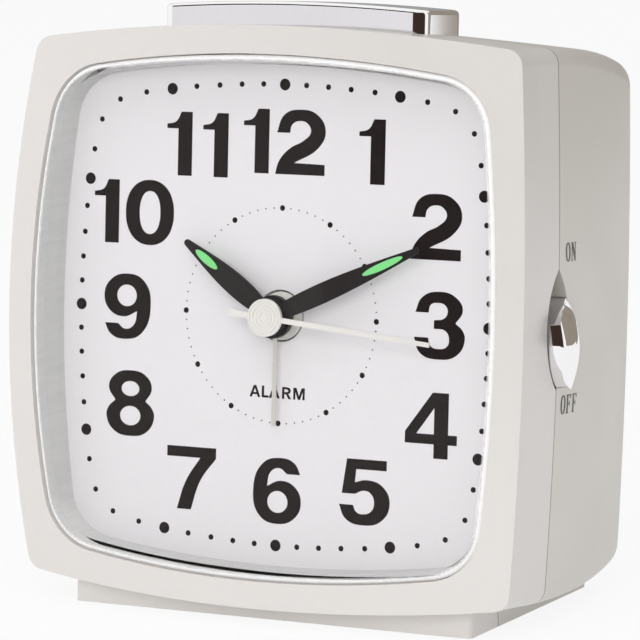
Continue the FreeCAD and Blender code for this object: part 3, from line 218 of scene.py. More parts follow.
def finish(
    name,
    colour,
    rough,
    metal=0.0,
    grain=0.5,
    vary=0.05,
    bump=0.0,
    coat=0.0,
    shine=0.5,
    stretch=(1, 1, 1),
    seam=False,
):
    """A moulded, plated or drawn surface: fine grain, and slow drift in colour and gloss."""
    material, tree, shader, where = blank(name)
    fine = noise(tree, where, grain, stretch=stretch)
    slow = noise(tree, where, DRIFT_SIZE)
    darker = [c * (1 - vary) for c in colour]
    lighter = [min(1.0, c * (1 + vary)) for c in colour]
    grained = mix_colour(tree, spread_value(tree, fine, 0, 1), darker, lighter)
    drifted = mix_colour(tree, spread_value(tree, slow, 0, DRIFT_SHARE), grained, colour)
    if seam:
        drifted = mix_colour(tree, seam_share(tree, where), drifted, SEAM_COLOUR)
    feed(tree, drifted, shader.inputs["Base Color"])
    gloss = spread_value(tree, slow, *around(rough, GLOSS_DRIFT))
    feed(tree, gloss, shader.inputs["Roughness"])
    preset(shader, {"Metallic": metal, "Specular IOR Level": shine})
    preset(shader, {"Coat Weight": coat, "Coat Roughness": COAT_ROUGHNESS})
    if bump:
        bumped(tree, fine, bump, shader)
    return material


def facing_share(tree, direction, side_on, face_on):
    """1 where the surface stands side on to a direction, 0 where it faces along it."""
    normal = tree.nodes.new("ShaderNodeNewGeometry").outputs["Normal"]
    along = vector_maths(tree, "DOT_PRODUCT", "Value", normal, direction)
    return ramp(tree, maths(tree, "ABSOLUTE", along), face_on, side_on)


def leaning_normal(tree, direction, share):
    """The surface's normal, leaned towards a direction that milky plastic takes its light from."""
    normal = tree.nodes.new("ShaderNodeNewGeometry").outputs["Normal"]
    weight = (share, share, share)
    lean = vector_maths(tree, "MULTIPLY_ADD", "Vector", direction, weight, normal)
    return vector_maths(tree, "NORMALIZE", "Vector", lean)


ACRYLIC = {"Base Color": (0.99, 0.988, 0.986, 1), "Transmission Weight": 1.0, "IOR": 1.49}
FACE_CLEARNESS = 0.965  # share of the light that passes the lens's face
FACE_GLOSS = 0.008  # share of the light that it reflects
FACE_ROUGHNESS = 0.03
WALL_COSINE, FACE_COSINE = 0.85, 0.985  # of the angle to the axis: at the walls, on the face
FROST_SHARE = 0.95
FROST_LEAN = 1.6
FROST_COLOURS = (0.90, 0.90, 0.90), (0.97, 0.965, 0.965)
RIB_SIZE, RIB_STRETCH = 0.7, (1, 0.05, 1)  # mm, fine ribs along the clock's depth
SMEAR_SIZE, SMEAR_ROUGHNESS = 9.0, 0.02


def clear_plastic(name, axis):
    """Moulded acrylic: along axis a clear face that bends no light, and mostly frosted walls."""
    material, tree, shader, where = blank(name)
    preset(shader, ACRYLIC)
    smear = noise(tree, where, SMEAR_SIZE, detail=4.0)
    feed(tree, spread_value(tree, smear, 0.0, SMEAR_ROUGHNESS), shader.inputs["Roughness"])
    through = tree.nodes.new("ShaderNodeBsdfTransparent")
    through.inputs["Color"].default_value = (FACE_CLEARNESS, FACE_CLEARNESS, FACE_CLEARNESS, 1)
    gloss = tree.nodes.new("ShaderNodeBsdfGlossy")
    gloss.inputs["Roughness"].default_value = FACE_ROUGHNESS
    frost = tree.nodes.new("ShaderNodeBsdfDiffuse")
    ribs = noise(tree, where, RIB_SIZE, stretch=RIB_STRETCH)
    tint = mix_colour(tree, spread_value(tree, ribs, 0, 1), *FROST_COLOURS)
    feed(tree, tint, frost.inputs["Color"])
    feed(tree, leaning_normal(tree, [-c for c in axis], FROST_LEAN), frost.inputs["Normal"])
    face = mixed(tree, FACE_GLOSS, through, gloss)
    walls = mixed(tree, FROST_SHARE, shader, frost)
    whole = mixed(tree, facing_share(tree, axis, WALL_COSINE, FACE_COSINE), face, walls)
    show(tree, mixed(tree, any_ray(tree, "Is Shadow Ray", "Is Diffuse Ray"), whole, through))
    return material


WAVE_PITCH = 0.314  # distance between the bands of a wave texture whose scale is 1


def banded(name, first, second, pitch_mm, axis, rough, metal, bump=0.0):
    """Two colours in bands across an axis, as wire turns or the lines of a board have."""
    material, tree, shader, where = blank(name)
    wave = tree.nodes.new("ShaderNodeTexWave")
    wave.bands_direction = axis
    preset(wave, {"Scale": WAVE_PITCH / (pitch_mm * MM), "Distortion": 0.3})
    feed(tree, where, wave.inputs["Vector"])
    colour = mix_colour(tree, wave.outputs["Fac"], first, second)
    feed(tree, colour, shader.inputs["Base Color"])
    preset(shader, {"Roughness": rough, "Metallic": metal})
    if bump:
        bumped(tree, wave.outputs["Fac"], bump, shader)
    return material


SLEEVE_GRAIN = 0.6  # mm
SLEEVE_GREY, SLEEVE_GREY_SHARE = (0.5, 0.5, 0.5), 0.12
SLEEVE_METAL, SLEEVE_ROUGHNESS, SLEEVE_GLOSS_DRIFT = 0.8, 0.3, 0.15


def cell_sleeve(name, edges_mm, colours):
    """A cell's printed sleeve: plain bands of colour along X, bare metal at both ends."""
    material, tree, shader, where = blank(name)
    along = tree.nodes.new("ShaderNodeSeparateXYZ")
    feed(tree, where, along.inputs[0])
    fine = noise(tree, where, SLEEVE_GRAIN)
    colour = colours[0]
    for edge, following in zip(edges_mm, colours[1:]):
        beyond = maths(tree, "GREATER_THAN", along.outputs["X"], edge * MM)
        colour = mix_colour(tree, beyond, colour, following)
    grey = spread_value(tree, fine, 0, SLEEVE_GREY_SHARE)
    feed(tree, mix_colour(tree, grey, colour, SLEEVE_GREY), shader.inputs["Base Color"])
    shader.inputs["Metallic"].default_value = SLEEVE_METAL
    gloss = spread_value(tree, fine, *around(SLEEVE_ROUGHNESS, SLEEVE_GLOSS_DRIFT))
    feed(tree, gloss, shader.inputs["Roughness"])
    return material


# Finishes: name, colour, roughness, and the size of the grain in mm.

SILVER = {"metal": 0.25, "grain": 0.16, "vary": 0.03, "bump": 0.004, "seam": True}
silver_front = finish("silver_front", (0.72, 0.695, 0.675), 0.36, **SILVER)
silver_rear = finish("silver_rear", (0.66, 0.635, 0.595), 0.38, **SILVER)
chrome = finish("chrome", (0.92, 0.91, 0.92), 0.05, metal=1.0, grain=2.0, vary=0.01)
acrylic = clear_plastic("acrylic", turned((0, 1, 0)))
dial_white = finish(
    "dial_white", (0.83, 0.81, 0.84), 0.55, grain=0.25, vary=0.012, bump=0.002
)
ink = finish("ink", (0.016, 0.011, 0.011), 0.6, grain=0.12, vary=0.25, shine=0.15)
side_ink = finish("side_ink", (0.10, 0.095, 0.085), 0.5, grain=0.12, vary=0.2)
black_satin = finish(
    "black_satin", (0.018, 0.014, 0.014), 0.5, grain=0.2, vary=0.15, bump=0.002, shine=0.3
)
lume_green = finish("lume_green", (0.23, 0.78, 0.26), 0.7, grain=0.12, vary=0.08, bump=0.006)
pale_metal = finish(
    "pale_metal", (0.86, 0.84, 0.81), 0.33, metal=0.15, grain=0.15, vary=0.03, bump=0.001
)
baton_metal = finish(
    "baton_metal", (0.74, 0.72, 0.66), 0.35, metal=0.5, grain=0.15, vary=0.03
)
white_moulded = finish(
    "white_moulded", (0.80, 0.80, 0.77), 0.45, grain=0.5, vary=0.02, bump=0.006
)
black_moulded = finish(
    "black_moulded", (0.022, 0.022, 0.023), 0.42, grain=0.3, vary=0.2, bump=0.006
)
knob_black = finish(
    "knob_black", (0.035, 0.035, 0.036), 0.38, grain=0.3, vary=0.15, bump=0.006
)
nylon_natural = finish("nylon_natural", (0.80, 0.75, 0.62), 0.35, grain=0.4, vary=0.03)
nylon_white = finish("nylon_white", (0.84, 0.83, 0.79), 0.33, grain=0.4, vary=0.02)
nylon_amber = finish("nylon_amber", (0.74, 0.62, 0.30), 0.33, grain=0.4, vary=0.04)
nylon_blue = finish("nylon_blue", (0.05, 0.17, 0.55), 0.33, grain=0.4, vary=0.06)
steel = finish("steel", (0.60, 0.61, 0.62), 0.28, metal=1.0, grain=0.2, vary=0.06, bump=0.002)
dark_steel = finish("dark_steel", (0.12, 0.12, 0.13), 0.35, metal=0.9, grain=0.3, vary=0.1)
core_steel = finish(
    "core_steel", (0.45, 0.46, 0.47), 0.4, metal=1.0, grain=0.2, vary=0.08, stretch=(1, 1, 0.2)
)
brass = finish("brass", (0.78, 0.58, 0.25), 0.25, metal=1.0, grain=0.3, vary=0.06, bump=0.001)
red_moulded = finish("red_moulded", (0.42, 0.04, 0.03), 0.4, grain=0.4, vary=0.06)
crystal_can = finish("crystal_can", (0.68, 0.69, 0.70), 0.22, metal=1.0, grain=0.5, vary=0.04)
resin = finish("resin", (0.012, 0.012, 0.012), 0.22, grain=0.6, vary=0.3)
lamp_amber = finish("lamp_amber", (0.85, 0.80, 0.42), 0.15, grain=0.5, vary=0.03, coat=0.5)
copper_wire = banded(
    "copper_wire", (0.35, 0.10, 0.04), (0.72, 0.30, 0.12), 0.12, "X", 0.3, 0.9, bump=0.03
)
board_green = banded(
    "board_green", (0.02, 0.10, 0.05), (0.03, 0.14, 0.07), 1.6, "DIAGONAL", 0.35, 0.0
)
board_white = banded(
    "board_white", (0.72, 0.72, 0.68), (0.78, 0.78, 0.74), 1.4, "X", 0.4, 0.0
)

BARE_CAN = (0.60, 0.60, 0.61)
SLEEVE_START, SLEEVE_CHANGE, SLEEVE_STOP = 1.6, 36.0, 3.0  # mm, the last from the other end
cell_low, cell_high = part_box("aa_cell")
cell_colours = cell_sleeve(
    "cell_colours",
    [
        cell_low.x / MM + SLEEVE_START,
        cell_low.x / MM + SLEEVE_CHANGE,
        cell_high.x / MM - SLEEVE_STOP,
    ],
    [BARE_CAN, (0.04, 0.04, 0.045), (0.62, 0.40, 0.16), BARE_CAN],
)

FINISHES = {
    silver_front: ["front_case"],
    silver_rear: ["rear_case", "battery_door"],
    chrome: ["snooze_bar", "alarm_switch_knob"],
    acrylic: ["lens"],
    dial_white: ["dial"],
    black_satin: ["hour_hand", "minute_hand"],
    lume_green: ["hour_hand_lume", "minute_hand_lume"],
    pale_metal: ["second_hand"],
    baton_metal: ["alarm_hand"],
    white_moulded: [
        "dial_carrier",
        "movement_front_housing",
        "train_bridge",
        "movement_back_housing",
    ],
    black_moulded: ["alarm_switch_body", "coil_bobbin", "buzzer"],
    knob_black: ["time_set_knob", "alarm_set_knob"],
    nylon_natural: ["hour_wheel", "third_wheel", "middle_wheel"],
    nylon_white: ["time_set_wheel", "alarm_set_wheel", "second_wheel"],
    nylon_amber: ["alarm_wheel"],
    nylon_blue: ["minute_wheel"],
    steel: [
        "case_screws",
        "carrier_screws",
        "movement_screws",
        "bar_springs",
        "positive_contact",
        "spring_contact",
    ],
    dark_steel: ["rotor"],
    core_steel: ["stator"],
    brass: ["light_contact", "cannon_pinion"],
    red_moulded: ["alarm_switch_slider"],
    crystal_can: ["quartz_crystal"],
    resin: ["chip"],
    lamp_amber: ["dial_lamp"],
    copper_wire: ["coil_winding"],
    board_green: ["circuit_board"],
    board_white: ["lamp_board"],
    cell_colours: ["aa_cell"],
}

for material, names in FINISHES.items():
    for name in names:
        for slot in nodes[name].material_slots:
            slot.material = material


# Pieces


def place_mesh(name, mesh):
    mesh.name = name
    piece = bpy.data.objects.new(name, mesh)
    bpy.context.scene.collection.objects.link(piece)
    return piece


def piece_of(name, bm):
    """A new object with the mesh that bm holds."""
    mesh = bpy.data.meshes.new(name)
    bm.to_mesh(mesh)
    bm.free()
    return place_mesh(name, mesh)


def mesh_of(curve, name):
    """The filled mesh that a curve gives, as a new object."""
    source = bpy.data.objects.new(name + "_source", curve)
    bpy.context.scene.collection.objects.link(source)
    bpy.context.view_layer.update()
    evaluated = source.evaluated_get(bpy.context.evaluated_depsgraph_get())
    mesh = bpy.data.meshes.new_from_object(evaluated)
    mesh.materials.clear()
    bpy.data.objects.remove(source)
    return place_mesh(name, mesh)


def lay(piece, matrix, material, body):
    """Moves a drawn piece to its place, inks it and lets it ride on a body."""
    piece.data.transform(matrix)
    piece.data.materials.append(material)
    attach(piece, body)


# Printing on the dial, in units of the inner dot ring's radius. An outline is a closed list of
# points: C is a corner, S a smooth bend. The first outline is the shape, others are its holes.

UNIT = 20.0  # mm
C = "VECTOR"
S = "AUTO"

ONE = [
    [
        (0, 0, C), (-0.15, 0, C), (-0.15, 0.439, C), (-0.27, 0.439, C), (-0.27, 0.48, C),
        (-0.175, 0.505, S), (-0.118, 0.597, C), (0, 0.597, C),
    ],
]
TWO = [
    [
        (0.013, 0.384, C), (0.085, 0.548, S), (0.25, 0.601, S), (0.44, 0.552, S),
        (0.52, 0.405, S), (0.455, 0.262, S), (0.197, 0.108, C), (0.516, 0.101, C),
        (0.516, 0, C), (0, 0, C), (0.04, 0.125, S), (0.155, 0.245, S), (0.29, 0.315, S),
        (0.366, 0.4, S), (0.335, 0.47, S), (0.254, 0.497, S), (0.172, 0.462, S),
        (0.148, 0.384, C),
    ],
]
THREE = [
    [
        (0.009, 0.423, C), (0.075, 0.56, S), (0.245, 0.618, S), (0.425, 0.568, S),
        (0.49, 0.458, S), (0.419, 0.337, C), (0.495, 0.27, S), (0.515, 0.18, S),
        (0.435, 0.045, S), (0.25, 0, S), (0.065, 0.05, S), (0, 0.195, C), (0.144, 0.195, C),
        (0.17, 0.12, S), (0.246, 0.096, S), (0.335, 0.12, S), (0.357, 0.189, S),
        (0.32, 0.262, S), (0.201, 0.279, C), (0.201, 0.356, C), (0.305, 0.378, S),
        (0.338, 0.438, S), (0.31, 0.497, S), (0.24, 0.516, S), (0.165, 0.495, S),
        (0.144, 0.423, C),
    ],
]
FOUR = [
    [
        (0.275, 0.603, C), (0.439, 0.603, C), (0.439, 0.221, C), (0.529, 0.221, C),
        (0.529, 0.13, C), (0.439, 0.13, C), (0.439, 0, C), (0.294, 0, C), (0.294, 0.13, C),
        (0, 0.13, C), (0, 0.236, C),
    ],
    [
        (0.294, 0.461, C), (0.116, 0.221, C), (0.294, 0.221, C),
    ],
]
FIVE = [
    [
        (0.075, 0.609, C), (0.486, 0.609, C), (0.486, 0.516, C), (0.174, 0.516, C),
        (0.161, 0.393, C), (0.286, 0.42, S), (0.455, 0.365, S), (0.524, 0.214, S),
        (0.445, 0.055, S), (0.255, 0, S), (0.07, 0.05, S), (0, 0.182, C), (0.147, 0.182, C),
        (0.178, 0.122, S), (0.254, 0.102, S), (0.338, 0.138, S), (0.363, 0.214, S),
        (0.335, 0.29, S), (0.259, 0.321, S), (0.165, 0.286, C), (0.027, 0.286, C),
    ],
]
SEVEN = [
    [
        (0, 0.591, C), (0.525, 0.591, C), (0.525, 0.492, C), (0.365, 0.285, S), (0.264, 0, C),
        (0.114, 0, C), (0.205, 0.265, S), (0.357, 0.492, C), (0, 0.492, C),
    ],
]
NINE_OUTER = [
    (0.011, 0.146, C), (0.075, 0.042, S), (0.225, 0, S), (0.41, 0.062, S), (0.505, 0.32, S),
    (0.435, 0.55, S), (0.245, 0.618, S), (0.062, 0.55, S), (0, 0.405, S), (0.06, 0.268, S),
    (0.213, 0.212, S), (0.359, 0.268, C), (0.325, 0.138, S), (0.232, 0.096, S),
    (0.152, 0.146, C),
]
EIGHT_OUTER = [
    (0.256, 0.621, S), (0.425, 0.575, S), (0.488, 0.458, S), (0.421, 0.335, C), (0.5, 0.26, S),
    (0.517, 0.18, S), (0.44, 0.048, S), (0.259, 0, S), (0.078, 0.048, S), (0, 0.18, S),
    (0.017, 0.26, S), (0.094, 0.335, C), (0.021, 0.458, S), (0.087, 0.575, S),
]


def rounded_loop(x, z, half_width, half_height, power=2.0, points=16):
    """A closed smooth loop: an ellipse for power 2, squarer above it."""
    loop = []
    for k in range(points):
        turn = 2 * math.pi * k / points
        c, s = math.cos(turn), math.sin(turn)
        dx = half_width * math.copysign(abs(c) ** (2 / power), c)
        dz = half_height * math.copysign(abs(s) ** (2 / power), s)
        loop.append((x + dx, z + dz, S))
    return loop


ZERO = [
    rounded_loop(0.260, 0.306, 0.260, 0.306, 2.2),
    rounded_loop(0.262, 0.306, 0.112, 0.202, 2.2),
]
EIGHT = [
    EIGHT_OUTER,
    rounded_loop(0.256, 0.448, 0.096, 0.071),
    rounded_loop(0.259, 0.192, 0.110, 0.092),
]
NINE = [NINE_OUTER, rounded_loop(0.246, 0.412, 0.106, 0.102)]
NINE_SIZE = (0.505, 0.618)
SIX = [
    [(NINE_SIZE[0] - x, NINE_SIZE[1] - z, kind) for x, z, kind in outline] for outline in NINE
]

NUMERALS = [
    (ONE, 1.052, 1.255),
    (TWO, 1.327, 0.596),
    (THREE, 1.387, -0.308),
    (FOUR, 1.319, -1.215),
    (FIVE, 0.655, -1.882),
    (SIX, -0.248, -1.938),
    (SEVEN, -1.175, -1.871),
    (EIGHT, -1.844, -1.223),
    (NINE, -1.890, -0.308),
    (ONE, -1.746, 0.596),
    (ZERO, -1.673, 0.590),
    (ONE, -0.971, 1.257),
    (ONE, -0.586, 1.257),
    (ONE, -0.154, 1.3125),
    (TWO, -0.086, 1.3125),
]

# Maps a flat drawing (x right, y up, z towards the viewer) onto the dial's face.
FACE = DIAL_FRAME @ Matrix(((1, 0, 0, 0), (0, 0, -1, 0), (0, 1, 0, 0), (0, 0, 0, 1)))
INK_THICKNESS = 0.04  # mm
CURVE_STEPS = 8


def flat_outlines(name, glyphs, scale):
    """A filled mesh in mm of glyphs, each a list of outlines with its place."""
    curve = bpy.data.curves.new(name, "CURVE")
    curve.dimensions = "2D"
    curve.fill_mode = "BOTH"
    curve.resolution_u = CURVE_STEPS
    curve.extrude = INK_THICKNESS / 2
    for outlines, x0, z0 in glyphs:
        for outline in outlines:
            spline = curve.splines.new("BEZIER")
            spline.use_cyclic_u = True
            spline.bezier_points.add(len(outline) - 1)
            for point, (x, z, kind) in zip(spline.bezier_points, outline):
                point.handle_left_type = kind
                point.handle_right_type = kind
                point.co = ((x0 + x) * scale, (z0 + z) * scale, 0)
    return mesh_of(curve, name)


numerals = flat_outlines("dial_numerals", NUMERALS, UNIT)
lay(numerals, FACE, ink, "case")

# Dots: the minute dots follow the dial's edge, the inner ring is a circle.
MINUTE_DOTS, MINUTE_DOTS_PER_HOUR, MINUTE_DOTS_PER_QUARTER = 60, 5, 15
MINUTE_DISTANCES = [2.140, 2.150, 2.177, 2.223, 2.294, 2.384, 2.503, 2.623]
BIG_DOT, SMALL_DOT = 0.055, 0.0265
RING_DOTS, RING_DOTS_PER_HOUR = 72, 6
RING_BIG_DOT, RING_SMALL_DOT = 0.027, 0.0075


def minute_distance(mark):
    """Distance of a minute dot from the hands' axis; it repeats in each quarter turn."""
    step = mark % MINUTE_DOTS_PER_QUARTER
    return MINUTE_DISTANCES[min(step, MINUTE_DOTS_PER_QUARTER - step)]


def ring_distance(_mark):
    return 1.0


def dot(bm, radius_mm, x, z, sides):
    place = Matrix.Translation((x * UNIT, z * UNIT, 0))
    bmesh.ops.create_cone(
        bm,
        cap_ends=True,
        segments=sides,
        radius1=radius_mm,
        radius2=radius_mm - INK_THICKNESS / 4,
        depth=INK_THICKNESS,
        matrix=place,
    )


def dot_track(bm, count, per_hour, distance_of, radii, sides):
    """Dots at even angles. Radii and sides: first the big dot at each hour, then the small ones."""
    for mark in range(count):
        kind = 0 if mark % per_hour == 0 else 1
        angle = math.radians(360 / count * mark)
        x, z = math.sin(angle), math.cos(angle)
        distance = distance_of(mark)
        dot(bm, radii[kind] * UNIT, distance * x, distance * z, sides[kind])


dots = bmesh.new()
dot_track(
    dots, MINUTE_DOTS, MINUTE_DOTS_PER_HOUR, minute_distance, (BIG_DOT, SMALL_DOT), (32, 20)
)
dot_track(
    dots, RING_DOTS, RING_DOTS_PER_HOUR, ring_distance, (RING_BIG_DOT, RING_SMALL_DOT), (24, 12)
)
lay(piece_of("dial_dots", dots), FACE, ink, "case")

# The word on the dial: plain bold capitals, in mm.
WORD_A = [
    [
        (0, 0, C), (0.52, 0, C), (0.71, 0.5, C), (1.59, 0.5, C), (1.78, 0, C), (2.3, 0, C),
        (1.42, 2.2, C), (0.88, 2.2, C),
    ],
    [
        (0.86, 0.9, C), (1.44, 0.9, C), (1.15, 1.68, C),
    ],
]
WORD_L = [
    [
        (0, 0, C), (1.45, 0, C), (1.45, 0.42, C), (0.48, 0.42, C), (0.48, 2.2, C), (0, 2.2, C),
    ],
]
WORD_R = [
    [
        (0, 0, C), (0.48, 0, C), (0.48, 0.86, C), (0.86, 0.86, C), (1.36, 0, C), (1.92, 0, C),
        (1.33, 0.94, C), (1.68, 1.17, S), (1.8, 1.53, S), (1.62, 2.0, S), (1.05, 2.2, C),
        (0, 2.2, C),
    ],
    [
        (0.48, 1.26, C), (1.0, 1.26, C), (1.31, 1.53, S), (1.0, 1.8, C), (0.48, 1.8, C),
    ],
]
WORD_M = [
    [
        (0, 0, C), (0.45, 0, C), (0.45, 1.45, C), (0.97, 0, C), (1.43, 0, C), (1.95, 1.45, C),
        (1.95, 0, C), (2.4, 0, C), (2.4, 2.2, C), (1.74, 2.2, C), (1.2, 0.7, C),
        (0.66, 2.2, C), (0, 2.2, C),
    ],
]
WORD_BASE = -15.35
DIAL_WORD = [
    (WORD_A, -6.15, WORD_BASE),
    (WORD_L, -3.55, WORD_BASE),
    (WORD_A, -2.05, WORD_BASE),
    (WORD_R, 0.72, WORD_BASE),
    (WORD_M, 3.08, WORD_BASE),
]
lay(flat_outlines("dial_word", DIAL_WORD, 1.0), FACE, ink, "case")

# Lettering beside the switch: narrow letters with thin serifs, in mm, laid on the side wall.
LETTER_O = [rounded_loop(1.06, 1.70, 1.06, 1.75, 2.3), rounded_loop(1.06, 1.70, 0.52, 1.52, 2.2)]
LETTER_F = [
    [
        (0, 0, C), (1.15, 0, C), (1.15, 0.16, C), (0.88, 0.16, C), (0.88, 1.62, C),
        (1.45, 1.62, C), (1.52, 1.25, C), (1.66, 1.25, C), (1.66, 2.2, C), (1.52, 2.2, C),
        (1.45, 1.8, C), (0.88, 1.8, C), (0.88, 3.22, C), (1.75, 3.22, C), (1.95, 2.65, C),
        (2.1, 2.65, C), (2.06, 3.4, C), (0, 3.4, C), (0, 3.24, C), (0.34, 3.24, C),
        (0.34, 0.16, C), (0, 0.16, C),
    ],
]
LETTER_N = [
    [
        (0, 0, C), (0.8, 0, C), (0.8, 0.15, C), (0.47, 0.15, C), (0.47, 2.55, C), (1.62, 0, C),
        (2.02, 0, C), (2.02, 3.25, C), (2.34, 3.25, C), (2.34, 3.4, C), (1.52, 3.4, C),
        (1.52, 3.25, C), (1.84, 3.25, C), (1.84, 1.2, C), (0.86, 3.4, C), (0, 3.4, C),
        (0, 3.25, C), (0.29, 3.25, C), (0.29, 0.15, C), (0, 0.15, C),
    ],
]
SIDE_WORDS = [
    ("on_word", [(LETTER_O, 9.65, 12.25), (LETTER_N, 12.15, 12.25)]),
    (
        "off_word",
        [(LETTER_O, 9.05, -15.55), (LETTER_F, 11.55, -15.55), (LETTER_F, 14.35, -15.55)],
    ),
]
BESIDE_CASE = 70.0  # mm from the hands' axis, outside the case's right wall
INK_GAP = 0.02  # mm between the wall and its lettering

case_surface = BVHTree.FromObject(nodes["rear_case"], bpy.context.evaluated_depsgraph_get())


def wrap_on_side(piece):
    """Presses a flat drawing (x is the dial frame's Y, y its Z) onto the case's right wall."""
    cut = bmesh.new()
    cut.from_mesh(piece.data)
    bmesh.ops.triangulate(cut, faces=cut.faces)
    bmesh.ops.subdivide_edges(cut, edges=cut.edges, cuts=1)
    inwards = turned((-1, 0, 0))
    for vertex in cut.verts:
        start = on_dial(BESIDE_CASE, vertex.co.x, vertex.co.y)
        hit, _normal, _index, _distance = case_surface.ray_cast(start, inwards)
        lift = INK_GAP + INK_THICKNESS / 2 + vertex.co.z
        vertex.co = hit - inwards * lift * MM
    cut.to_mesh(piece.data)
    cut.free()


for name, letters in SIDE_WORDS:
    word_piece = flat_outlines(name, letters, 1.0)
    wrap_on_side(word_piece)
    lay(word_piece, Matrix.Identity(4), side_ink, "case")


# The switch knob: a leaf whose outer face is crowned both ways, with softened edges. In mm.

KNOB_CENTRE = (6.4, -2.2)  # Y and Z of its middle at rest
KNOB_HALF_WIDTH, KNOB_HALF_LENGTH = 3.9, 8.35
KNOB_INNER_X, KNOB_TIP_X, KNOB_CREST_X = 50.1, 55.5, 57.4
KNOB_APEX = -0.2  # place of the highest point between the lower tip, -1, and the upper tip, 1
KNOB_ARCH_DOWN, KNOB_ARCH_UP = 1.2, 0.8  # from there to where the arch is down at KNOB_TIP_X
CROWN_FRONT = [(0.55, 2), (0.25, 12)]  # height lost at an edge, and the power it is lost with
CROWN_REAR = [(0.65, 2.2)]
KNOB_ROWS, KNOB_COLUMNS = 56, 36
KNOB_WELD = 0.002
KNOB_STEM = ((45.7, 5.5, -3.8), (50.4, 7.3, -0.6))
STEM_BEVEL = 0.2
SHARP_ANGLE = math.radians(40)


def leaf_share(v):
    """Half width of a leaf of two arcs, as a share of its largest, at v from tip to tip."""
    radius = (KNOB_HALF_LENGTH**2 + KNOB_HALF_WIDTH**2) / (2 * KNOB_HALF_WIDTH)
    drop = radius - math.sqrt(radius**2 - (v * KNOB_HALF_LENGTH) ** 2)
    return max(0.0, 1 - drop / KNOB_HALF_WIDTH)


def arch_share(v):
    """Height along the knob at v: 1 at the apex, less towards both tips."""
    reach = KNOB_ARCH_DOWN if v < KNOB_APEX else KNOB_ARCH_UP
    return 1 - ((v - KNOB_APEX) / reach) ** 2


def crown_share(u):
    """Height across the knob at u: 1 in the middle, less towards the front, -1, and rear, 1."""
    losses = CROWN_FRONT if u < 0 else CROWN_REAR
    return 1 - sum(loss * abs(u) ** power for loss, power in losses)


def knob_section(v):
    """Points across the knob at v, from front to rear, in the dial frame."""
    y0, z0 = KNOB_CENTRE
    half = KNOB_HALF_WIDTH * leaf_share(v)
    crest = (KNOB_CREST_X - KNOB_TIP_X) * arch_share(v)
    z = z0 + KNOB_HALF_LENGTH * v
    points = [(KNOB_INNER_X, y0 - half, z)]
    for j in range(KNOB_COLUMNS + 1):
        u = -math.cos(math.pi * j / KNOB_COLUMNS)
        points.append((KNOB_TIP_X + crest * crown_share(u), y0 + half * u, z))
    points.append((KNOB_INNER_X, y0 + half, z))
    return points


def add_leaf(bm):
    rows = []
    for i in range(KNOB_ROWS + 1):
        section = knob_section(-math.cos(math.pi * i / KNOB_ROWS))
        rows.append([bm.verts.new(on_dial(*point)) for point in section])
    for lower, upper in zip(rows, rows[1:]):
        for j in range(len(lower)):
            k = (j + 1) % len(lower)
            bm.faces.new((lower[j], upper[j], upper[k], lower[k]))
    bmesh.ops.remove_doubles(bm, verts=bm.verts, dist=KNOB_WELD * MM)


def add_stem(bm):
    """The block that joins the leaf to the switch's slider."""
    low, high = [Vector(corner) for corner in KNOB_STEM]
    size, middle = high - low, (low + high) / 2
    place = DIAL_FRAME @ Matrix.Translation(middle) @ Matrix.Diagonal((*size, 1))
    stem = bmesh.ops.create_cube(bm, size=1.0, matrix=place)["verts"]
    edges = list(dict.fromkeys(e for v in stem for e in v.link_edges))
    bmesh.ops.bevel(bm, geom=edges, offset=STEM_BEVEL * MM, segments=2, affect="EDGES")


def switch_knob():
    bm = bmesh.new()
    add_leaf(bm)
    add_stem(bm)
    bmesh.ops.recalc_face_normals(bm, faces=bm.faces)
    for face in bm.faces:
        face.smooth = True
    piece = piece_of("switch_knob", bm)
    piece.data.set_sharp_from_angle(angle=SHARP_ANGLE)
    piece.data.materials.append(chrome)
    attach(piece, "alarm_switch")
    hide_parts("alarm_switch_knob")


switch_knob()

# The bar's springs shorten as the bar goes down. Their coils are copied into a piece of their own,
# with its own mesh, riding on the case.
coils = place_mesh("bar_spring_coils", nodes["bar_springs"].data.copy())
coils.data.materials.clear()
coils.data.materials.append(steel)
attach(coils, "case")
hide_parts("bar_springs")
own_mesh(coils)

# Stage: a white sweep, soft lamps, and cards that only reflections see. In metres.

BACKGROUND_RAYS = ("Is Camera Ray", "Is Glossy Ray", "Is Transmission Ray")
FLOOR_HALF_WIDTH = 3.0
FLOOR_FRONT, FLOOR_BACK, SWEEP_RADIUS, SWEEP_TOP = -2.5, 1.6, 0.6, 3.0
SWEEP_STEPS = 16


def sweep_profile():
    """The floor's line from front to back, the curve up and the wall, as (y, z)."""
    line = [(FLOOR_FRONT, 0.0), (FLOOR_BACK, 0.0)]
    for k in range(1, SWEEP_STEPS + 1):
        turn = math.pi / 2 * k / SWEEP_STEPS
        y = FLOOR_BACK + SWEEP_RADIUS * math.sin(turn)
        line.append((y, SWEEP_RADIUS * (1 - math.cos(turn))))
    line.append((FLOOR_BACK + SWEEP_RADIUS, SWEEP_TOP))
    return line


def strip(name, pairs, smooth):
    """A piece made of one row of faces, each between two pairs of points."""
    bm = bmesh.new()
    rows = [[bm.verts.new(point) for point in pair] for pair in pairs]
    for (a, b), (c, d) in zip(rows, rows[1:]):
        bm.faces.new((a, b, d, c)).smooth = smooth
    return piece_of(name, bm)


PAPER = {"Base Color": (0.93, 0.93, 0.93, 1), "Roughness": 0.9, "Specular IOR Level": 0.0}
PAPER_GLOW = 0.88  # share of plain white in the background; the rest takes the object's shadow


